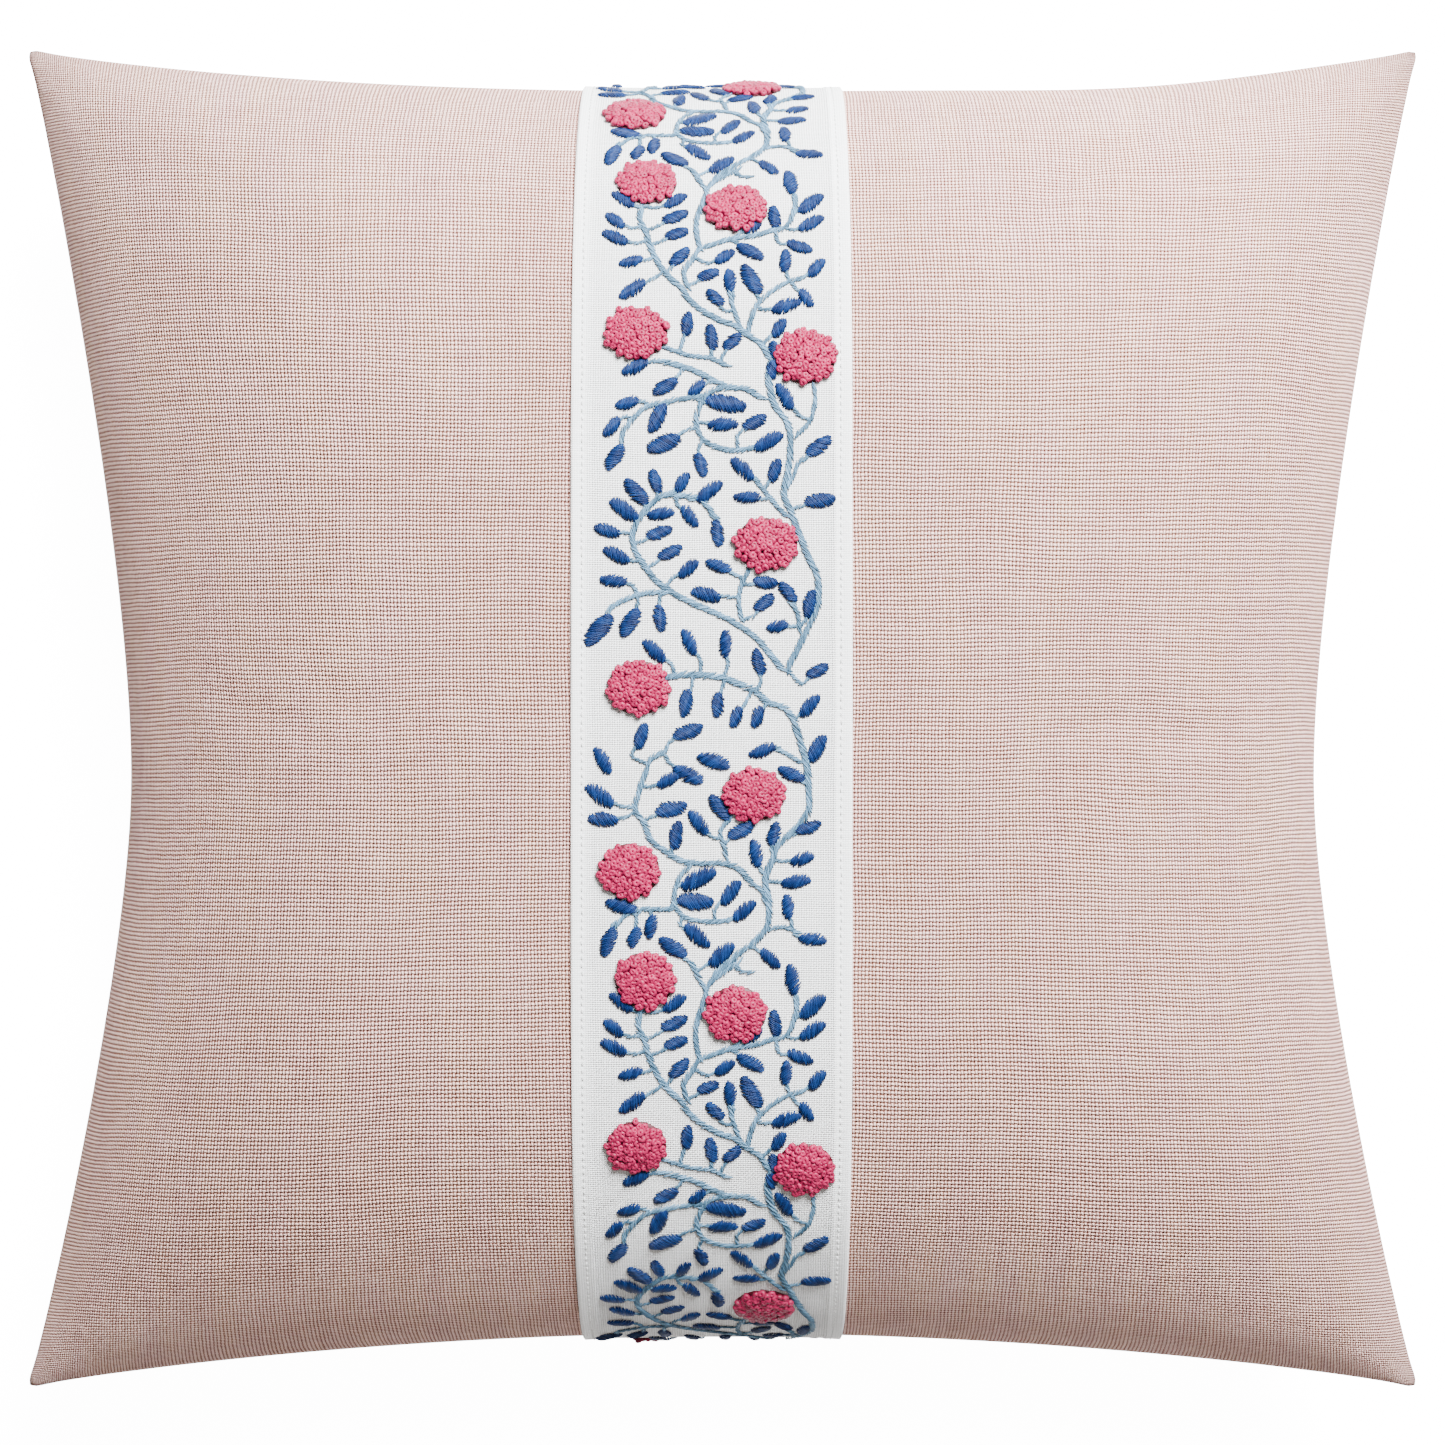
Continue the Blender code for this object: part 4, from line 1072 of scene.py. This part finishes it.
def weave(finish, pitch_across, pitch_along, wander):
    """A plain weave in the cloth's own coordinates: its height, its gaps, and each yarn's tone.

    With a and b counting yarns both ways, the yarns stand |sin(pi a)|^0.6 and |sin(pi b)|^0.6 high,
    and sin(pi a) sin(pi b), which changes sign from one crossing to the next, lifts one over the
    other. A gap is (1 - |sin(pi a)|) (1 - |sin(pi b)|), wider or closer by a noise. The yarns bend
    by a broad noise, wander by a soft one, and thicken by one drawn out along each of them.
    """
    uv = finish.coordinates("UV")
    x, y, _ = finish.split(uv)
    bend = finish.remap(finish.noise(uv, 13.0, 1.0), 0.0, 1.0, -BEND_YARNS, BEND_YARNS)
    drift = finish.remap(finish.noise(uv, 150.0), 0.0, 1.0, -wander, wander)
    slub_a = finish.noise(finish.stretched(x, 900.0, y, 60.0), 1.0)
    slub_b = finish.noise(finish.stretched(x, 60.0, y, 900.0), 1.0)
    counts = []
    for place, pitch, slub, side in ((x, pitch_across, slub_a, 1.0), (y, pitch_along, slub_b, -1.0)):
        count = finish.plus(finish.math("DIVIDE", place, pitch), finish.times(bend, side))
        count = finish.plus(count, drift)
        counts.append(finish.plus(count, finish.remap(slub, 0.0, 1.0, -wander, wander)))
    a, b = counts
    wave_a = finish.math("SINE", finish.times(a, math.pi))
    wave_b = finish.math("SINE", finish.times(b, math.pi))
    round_a, round_b = finish.math("ABSOLUTE", wave_a), finish.math("ABSOLUTE", wave_b)
    over = finish.times(finish.times(wave_a, wave_b), OVER_RISE)
    warp = finish.plus(finish.math("POWER", round_a, 0.6), over)
    weft = finish.minus(finish.math("POWER", round_b, 0.6), over)
    height = finish.math("MAXIMUM", warp, weft)
    gap = finish.times(finish.minus(1.0, round_a), finish.minus(1.0, round_b))
    uneven = finish.remap(finish.noise(uv, 700.0, 1.0), 0.3, 0.7, 0.72, 1.22)
    gap = finish.times(gap, uneven)
    above = finish.math("GREATER_THAN", warp, weft)
    own = finish.times(finish.speckle(finish.join(finish.math("FLOOR", a), 3.0)), above)
    other = finish.speckle(finish.join(7.0, finish.math("FLOOR", b)))
    other = finish.times(other, finish.minus(1.0, above))
    tone = finish.plus(own, other)
    fleck = finish.speckle(finish.join(finish.math("FLOOR", a), finish.math("FLOOR", b)))
    tone = finish.plus(finish.times(tone, 0.35), finish.times(slub_b, 0.40))
    tone = finish.plus(tone, finish.times(fleck, 0.25))
    tone = finish.minus(tone, finish.times(above, 0.22))
    return height, gap, tone


def pink_linen():
    """Blush linen: a slubby plain weave whose yarns differ, with painted highlights on the yarns' crowns
    and painted shade on their flanks and in the gaps at the crossings.
    """
    finish = Finish("blush_linen", 0.95, specular=0.08)
    height, gap, tone = weave(finish, 0.00115, 0.00139, 0.18)
    uv = finish.coordinates("UV")
    x, y, _ = finish.split(uv)
    streak = finish.noise(finish.stretched(x, 110.0, y, 14.0), 1.0, 3.0)
    patch = finish.noise(uv, 24.0, 3.0)
    colour = finish.blend(finish.remap(streak, 0.38, 0.62, 0.0, 1.0), PINK_COOL, PINK_WARM)
    colour = finish.blend(finish.remap(patch, 0.35, 0.65, 0.0, 0.45), colour, PINK_DEEP)
    colour = finish.brighten(colour, finish.remap(tone, 0.10, 0.75, 0.76, 1.14))
    # Painted highlight: the yarns' crowns, where the height is greatest, are mixed toward a lighter pink.
    colour = finish.blend(finish.remap(height, 1.0, 1.6, 0.0, 0.80), colour, PINK_HIGHLIGHT)
    # Painted shade: the yarns' low flanks and the gaps at their crossings are mixed toward a dark
    # red-brown.
    colour = finish.blend(finish.remap(height, 0.5, 1.15, 0.70, 0.0), colour, PINK_SHADE)
    colour = finish.blend(finish.remap(gap, 0.12, 0.42, 0.0, 1.0), colour, PINK_SHADE)
    finish.bump(height, 0.00055)
    return finish.done(colour)


def white_linen():
    """The band's fine white linen, closer where the hem is doubled, with grey shade painted into the gaps
    of its weave.
    """
    finish = Finish("white_linen", 0.9, specular=0.15, sheen=0.1)
    height, gap, tone = weave(finish, 0.00082, 0.00073, 0.22)
    x, _, _ = finish.split(finish.coordinates("UV"))
    edge = finish.math("ABSOLUTE", x)
    fold = BAND_WIDTH / 2 - HEM_WIDTH
    single = finish.remap(edge, fold, fold + 0.0012, 1.0, 0.35)
    colour = finish.brighten(WHITE_YARN, finish.remap(tone, 0.25, 0.75, 0.92, 1.05))
    # Painted shade: the weave's gaps are mixed toward grey, less where the doubled hem closes them.
    dark = finish.times(finish.remap(gap, 0.10, 0.45, 0.0, 1.0), single)
    colour = finish.blend(dark, colour, WHITE_GAP_SHADE)
    finish.bump(finish.times(height, single), 0.00024)
    return finish.done(colour)


def embroidery_thread(name, dark, light, roughness=0.42, plies=5.0, depth=0.00010):
    """Stranded cotton: each stitch has its own tone, and its plies run round it as a shallow twist, each
    ply's crown painted lighter as a highlight.

    The ply height is |sin(pi (turn * plies + along * 3))|, along the stitch's own coordinates.
    """
    finish = Finish(name, roughness, specular=0.14)
    turn, along, _ = finish.split(finish.coordinates("UV"))
    twist = finish.plus(finish.times(turn, plies), finish.times(along, 3.0))
    ply = finish.math("ABSOLUTE", finish.math("SINE", finish.times(twist, math.pi)))
    tone = finish.math("POWER", finish.attribute("tone"), 1.8)
    fleck = finish.noise(finish.coordinates("Object"), 420.0, 2.0)
    # Painted highlight: the plies' crowns lift the share toward the lighter colour.
    share = finish.plus(finish.times(tone, 0.62), finish.times(ply, 0.16))
    share = finish.plus(share, finish.remap(fleck, 0.3, 0.7, -0.14, 0.26), clamp=True)
    finish.bump(ply, depth)
    return finish.done(finish.blend(share, dark, light))


def flower_thread():
    """The knots' thread: deep rose painted as shade low between the knots and light rose painted as a
    highlight on their crowns.
    """
    finish = Finish("rose_thread", 0.42, specular=0.22)
    turn, along, _ = finish.split(finish.coordinates("UV"))
    twist = finish.plus(finish.times(turn, 6.0), finish.times(along, 3.0))
    ply = finish.math("ABSOLUTE", finish.math("SINE", finish.times(twist, math.pi)))
    # Painted highlight and shade: each knot's colour goes from deep at its foot to light on its crown.
    painted_crown_light = finish.remap(finish.attribute("lift"), 0.25, 1.0, 0.0, 0.62)
    share = finish.times(finish.attribute("tone"), 0.38)
    share = finish.plus(share, painted_crown_light, clamp=True)
    finish.bump(ply, 0.00004)
    return finish.done(finish.blend(share, ROSE_DEEP, ROSE_LIGHT))


def zip_cloth():
    """The zip's tape: a close twill in blush, cut across by fine ribs, with their crowns painted lighter
    and their hollows darker as light and shade.
    """
    finish = Finish("zip_cloth", 0.85, specular=0.2)
    x, _, z = finish.split(finish.coordinates("Object"))
    rib = finish.math("ABSOLUTE", finish.math("SINE", finish.times(finish.plus(x, z), 4200.0)))
    finish.bump(rib, 0.00012)
    # Painted highlight and shade: the ribs' crowns lighter, their hollows darker.
    painted_light_share = finish.remap(rib, 0.0, 1.0, 0.0, 0.7)
    return finish.done(finish.blend(painted_light_share, (0.30, 0.20, 0.18), (0.52, 0.39, 0.36)))


def painted_metal():
    """The slider and its pull: blush enamel on cast metal, a lighter pink on its high grain."""
    finish = Finish("painted_metal", 0.35, metallic=0.35)
    grain = finish.noise(finish.coordinates("Object"), 900.0, 3.0)
    finish.bump(grain, 0.00004)
    finish.feed(finish.shader.inputs["Roughness"], finish.remap(grain, 0.3, 0.7, 0.26, 0.46))
    # The enamel is a lighter pink where the grain stands high and darker where it is low.
    high_grain_share = finish.remap(grain, 0.35, 0.7, 0.0, 1.0)
    return finish.done(finish.blend(high_grain_share, (0.46, 0.33, 0.30), (0.62, 0.50, 0.47)))


def coil_plastic():
    """The coils' blush nylon, slightly clouded."""
    finish = Finish("coil_nylon", 0.4, specular=0.5)
    cloud = finish.noise(finish.coordinates("Object"), 600.0, 2.0)
    finish.bump(cloud, 0.00003)
    return finish.done(finish.blend(cloud, (0.44, 0.31, 0.29), (0.62, 0.47, 0.44)))


def ticking_cloth():
    """The insert's ticking: a close cream weave, with brown-grey shade painted into its gaps."""
    finish = Finish("ticking_cloth", 0.9, specular=0.15)
    height, gap, tone = weave(finish, 0.00060, 0.00060, 0.2)
    colour = finish.brighten((0.74, 0.72, 0.66), finish.remap(tone, 0.2, 0.8, 0.9, 1.05))
    finish.bump(height, 0.00015)
    # Painted shade: the weave's gaps are mixed toward a brown-grey.
    return finish.done(finish.blend(finish.remap(gap, 0.1, 0.6, 0.0, 0.8), colour, (0.42, 0.39, 0.33)))


def fibre_fill():
    """Polyester fibre: matted white tufts, with their tops painted lighter and the hollows between them
    darker as light and shade.
    """
    finish = Finish("fibre_fill", 1.0, specular=0.05, sheen=0.3)
    place = finish.coordinates("Object")
    tuft = finish.plus(finish.noise(place, 60.0, 4.0), finish.times(finish.noise(place, 500.0, 4.0), 0.4))
    finish.bump(tuft, 0.0016)
    # Painted highlight and shade: the tufts' tops lighter, the hollows between them darker.
    painted_light_share = finish.remap(tuft, 0.5, 0.9, 0.0, 1.0)
    return finish.done(finish.blend(painted_light_share, (0.66, 0.66, 0.64), (0.86, 0.86, 0.84)))


def floor_paper():
    """The pale floor: near-white paper with the faintest mottle, lit a little from below."""
    finish = Finish("floor_paper", 0.9, specular=0.1)
    mottle = finish.noise(finish.coordinates("Object"), 3.0, 3.0)
    finish.shader.inputs["Emission Color"].default_value = (1.0, 1.0, 1.0, 1.0)
    finish.shader.inputs["Emission Strength"].default_value = FLOOR_GLOW
    return finish.done(finish.blend(mottle, (0.92, 0.92, 0.92), (0.95, 0.95, 0.95)))


# ======== the scene ========


def make_floor():
    """A wide square of bright paper whose middle the cushion rests on; it lights only itself."""
    half = FLOOR_HALF
    corners = np.array([[-half, -half, 0], [half, -half, 0], [half, half, 0], [-half, half, 0]])
    floor = make_piece("floor", corners, [np.array([[0, 1, 2, 3]])], floor_paper())
    alone = bpy.data.collections.new("floor_alone")
    alone.objects.link(floor)
    floor.light_linking.receiver_collection = alone


def make_light(name, place, size, power, colour):
    """A soft square light aimed at the cushion's middle."""
    data = bpy.data.lights.new(name, "AREA")
    data.size = size
    data.energy = power
    data.color = colour
    lamp = bpy.data.objects.new(name, data)
    lamp.location = place
    lamp.visible_camera = False
    aim = -np.array(place) / np.linalg.norm(place)
    lamp.rotation_euler = (math.acos(-aim[2]), 0.0, math.atan2(aim[1], aim[0]) - math.pi / 2)
    bpy.context.scene.collection.objects.link(lamp)


def make_studio():
    """A window's soft light from above and to the right, two weak fills, and a dim sky."""
    make_light("window_softbox", WINDOW_PLACE, WINDOW_SIZE, KEY_POWER, WINDOW_COLOUR)
    make_light("overhead_softbox", OVERHEAD_PLACE, OVERHEAD_SIZE, OVERHEAD_POWER, OVERHEAD_COLOUR)
    make_light("low_fill", FILL_PLACE, FILL_SIZE, FILL_POWER, FILL_COLOUR)
    world = bpy.data.worlds.new("studio")
    world.use_nodes = True
    world.node_tree.nodes["Background"].inputs[0].default_value = SKY_COLOUR
    world.node_tree.nodes["Background"].inputs[1].default_value = SKY_GLOW
    bpy.context.scene.world = world


def make_camera():
    """Straight above the cushion, as far up as its widest line needs to fill the frame."""
    data = bpy.data.cameras.new("overhead")
    data.lens = CAMERA_LENS
    data.sensor_width = CAMERA_SENSOR
    camera = bpy.data.objects.new("overhead", data)
    camera.location = (0.0, -CAMERA_DOWN, SEAM_HEIGHT + ROLL_RISE + CAMERA_ABOVE_SEAM_ROLL)
    bpy.context.scene.collection.objects.link(camera)
    bpy.context.scene.camera = camera


def finish_piece(piece, replaced=(), body="cushion"):
    """Sets a piece on its body and hides the imported nodes that it stands for."""
    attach(piece, body)
    if replaced:
        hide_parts(*replaced)
    return piece


def dress(node, finish):
    """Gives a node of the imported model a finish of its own."""
    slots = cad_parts[node].data.materials
    slots.clear()
    slots.append(finish)


def build():
    """Makes each piece, says what it stands for, and sets the scene round them."""
    linen = pink_linen()
    rings = (0.12, 0.26, 0.42, 0.58, 0.74, 0.88, 1.0)
    front = panel("cover_front", cover_front, linen, rings, False)
    finish_piece(front, ["front_panel"])
    back = panel("cover_back", cover_back, linen, (), True)
    finish_piece(back, ["back_panel"])

    band = finish_piece(make_band(white_linen()), ["band"])
    white = embroidery_thread("white_sewing_thread", (0.62, 0.62, 0.60), (0.86, 0.86, 0.85), 0.6, 3.0)
    for word, side in (("left", -1), ("right", 1)):
        row = stitch_row(f"topstitch_{word}", side, white)
        finish_piece(row, [f"band_topstitch_{word}"])
    pale_blue = embroidery_thread("pale_blue_thread", STEM_DARK, STEM_LIGHT)
    stems = finish_piece(make_stems(pale_blue))
    deep_blue = embroidery_thread("deep_blue_thread", LEAF_DARK, LEAF_LIGHT)
    leaves = finish_piece(make_leaves(deep_blue))
    rose = flower_thread()
    flowers = []
    for repeat in (0, -1):
        for across, along in FLOWER_PLACES:
            q = along + repeat * PATTERN_REPEAT
            if ALONG[0] - FLOWER_HOLD < q < ALONG[-1] + FLOWER_HOLD:
                number = f"{len(flowers) + 1:02d}"
                flower = make_flower(f"knots_{number}", across, q, rose)
                flowers.append(finish_piece(flower, [f"flower_{number}"]))

    blush = embroidery_thread("blush_sewing_thread", (0.42, 0.30, 0.27), (0.60, 0.46, 0.43), 0.6, 3.0)
    finish_piece(make_seam_stitches(blush), ["seam_thread"])
    nylon = coil_plastic()
    for word, side in (("front", 1), ("back", -1)):
        finish_piece(make_coil(f"coil_{word}", side, nylon), [f"zip_coil_{word}"])
    tape = zip_cloth()
    metal = painted_metal()
    dress("zip_tape_front", tape)
    dress("zip_tape_back", tape)
    for node in ("zip_stop_open", "zip_stop_closed", "zip_slider", "zip_pull"):
        dress(node, metal)

    insert = make_pad("insert_pad", 0.0, ticking_cloth())
    finish_piece(insert, ["insert_ticking_front", "insert_ticking_back"])
    filling = make_pad("insert_filling", -TICKING - STUFFING_GAP, fibre_fill())
    finish_piece(filling, ["insert_stuffing"])
    make_floor()
    make_studio()
    make_camera()


front_move, back_move = relax_cover()
build()
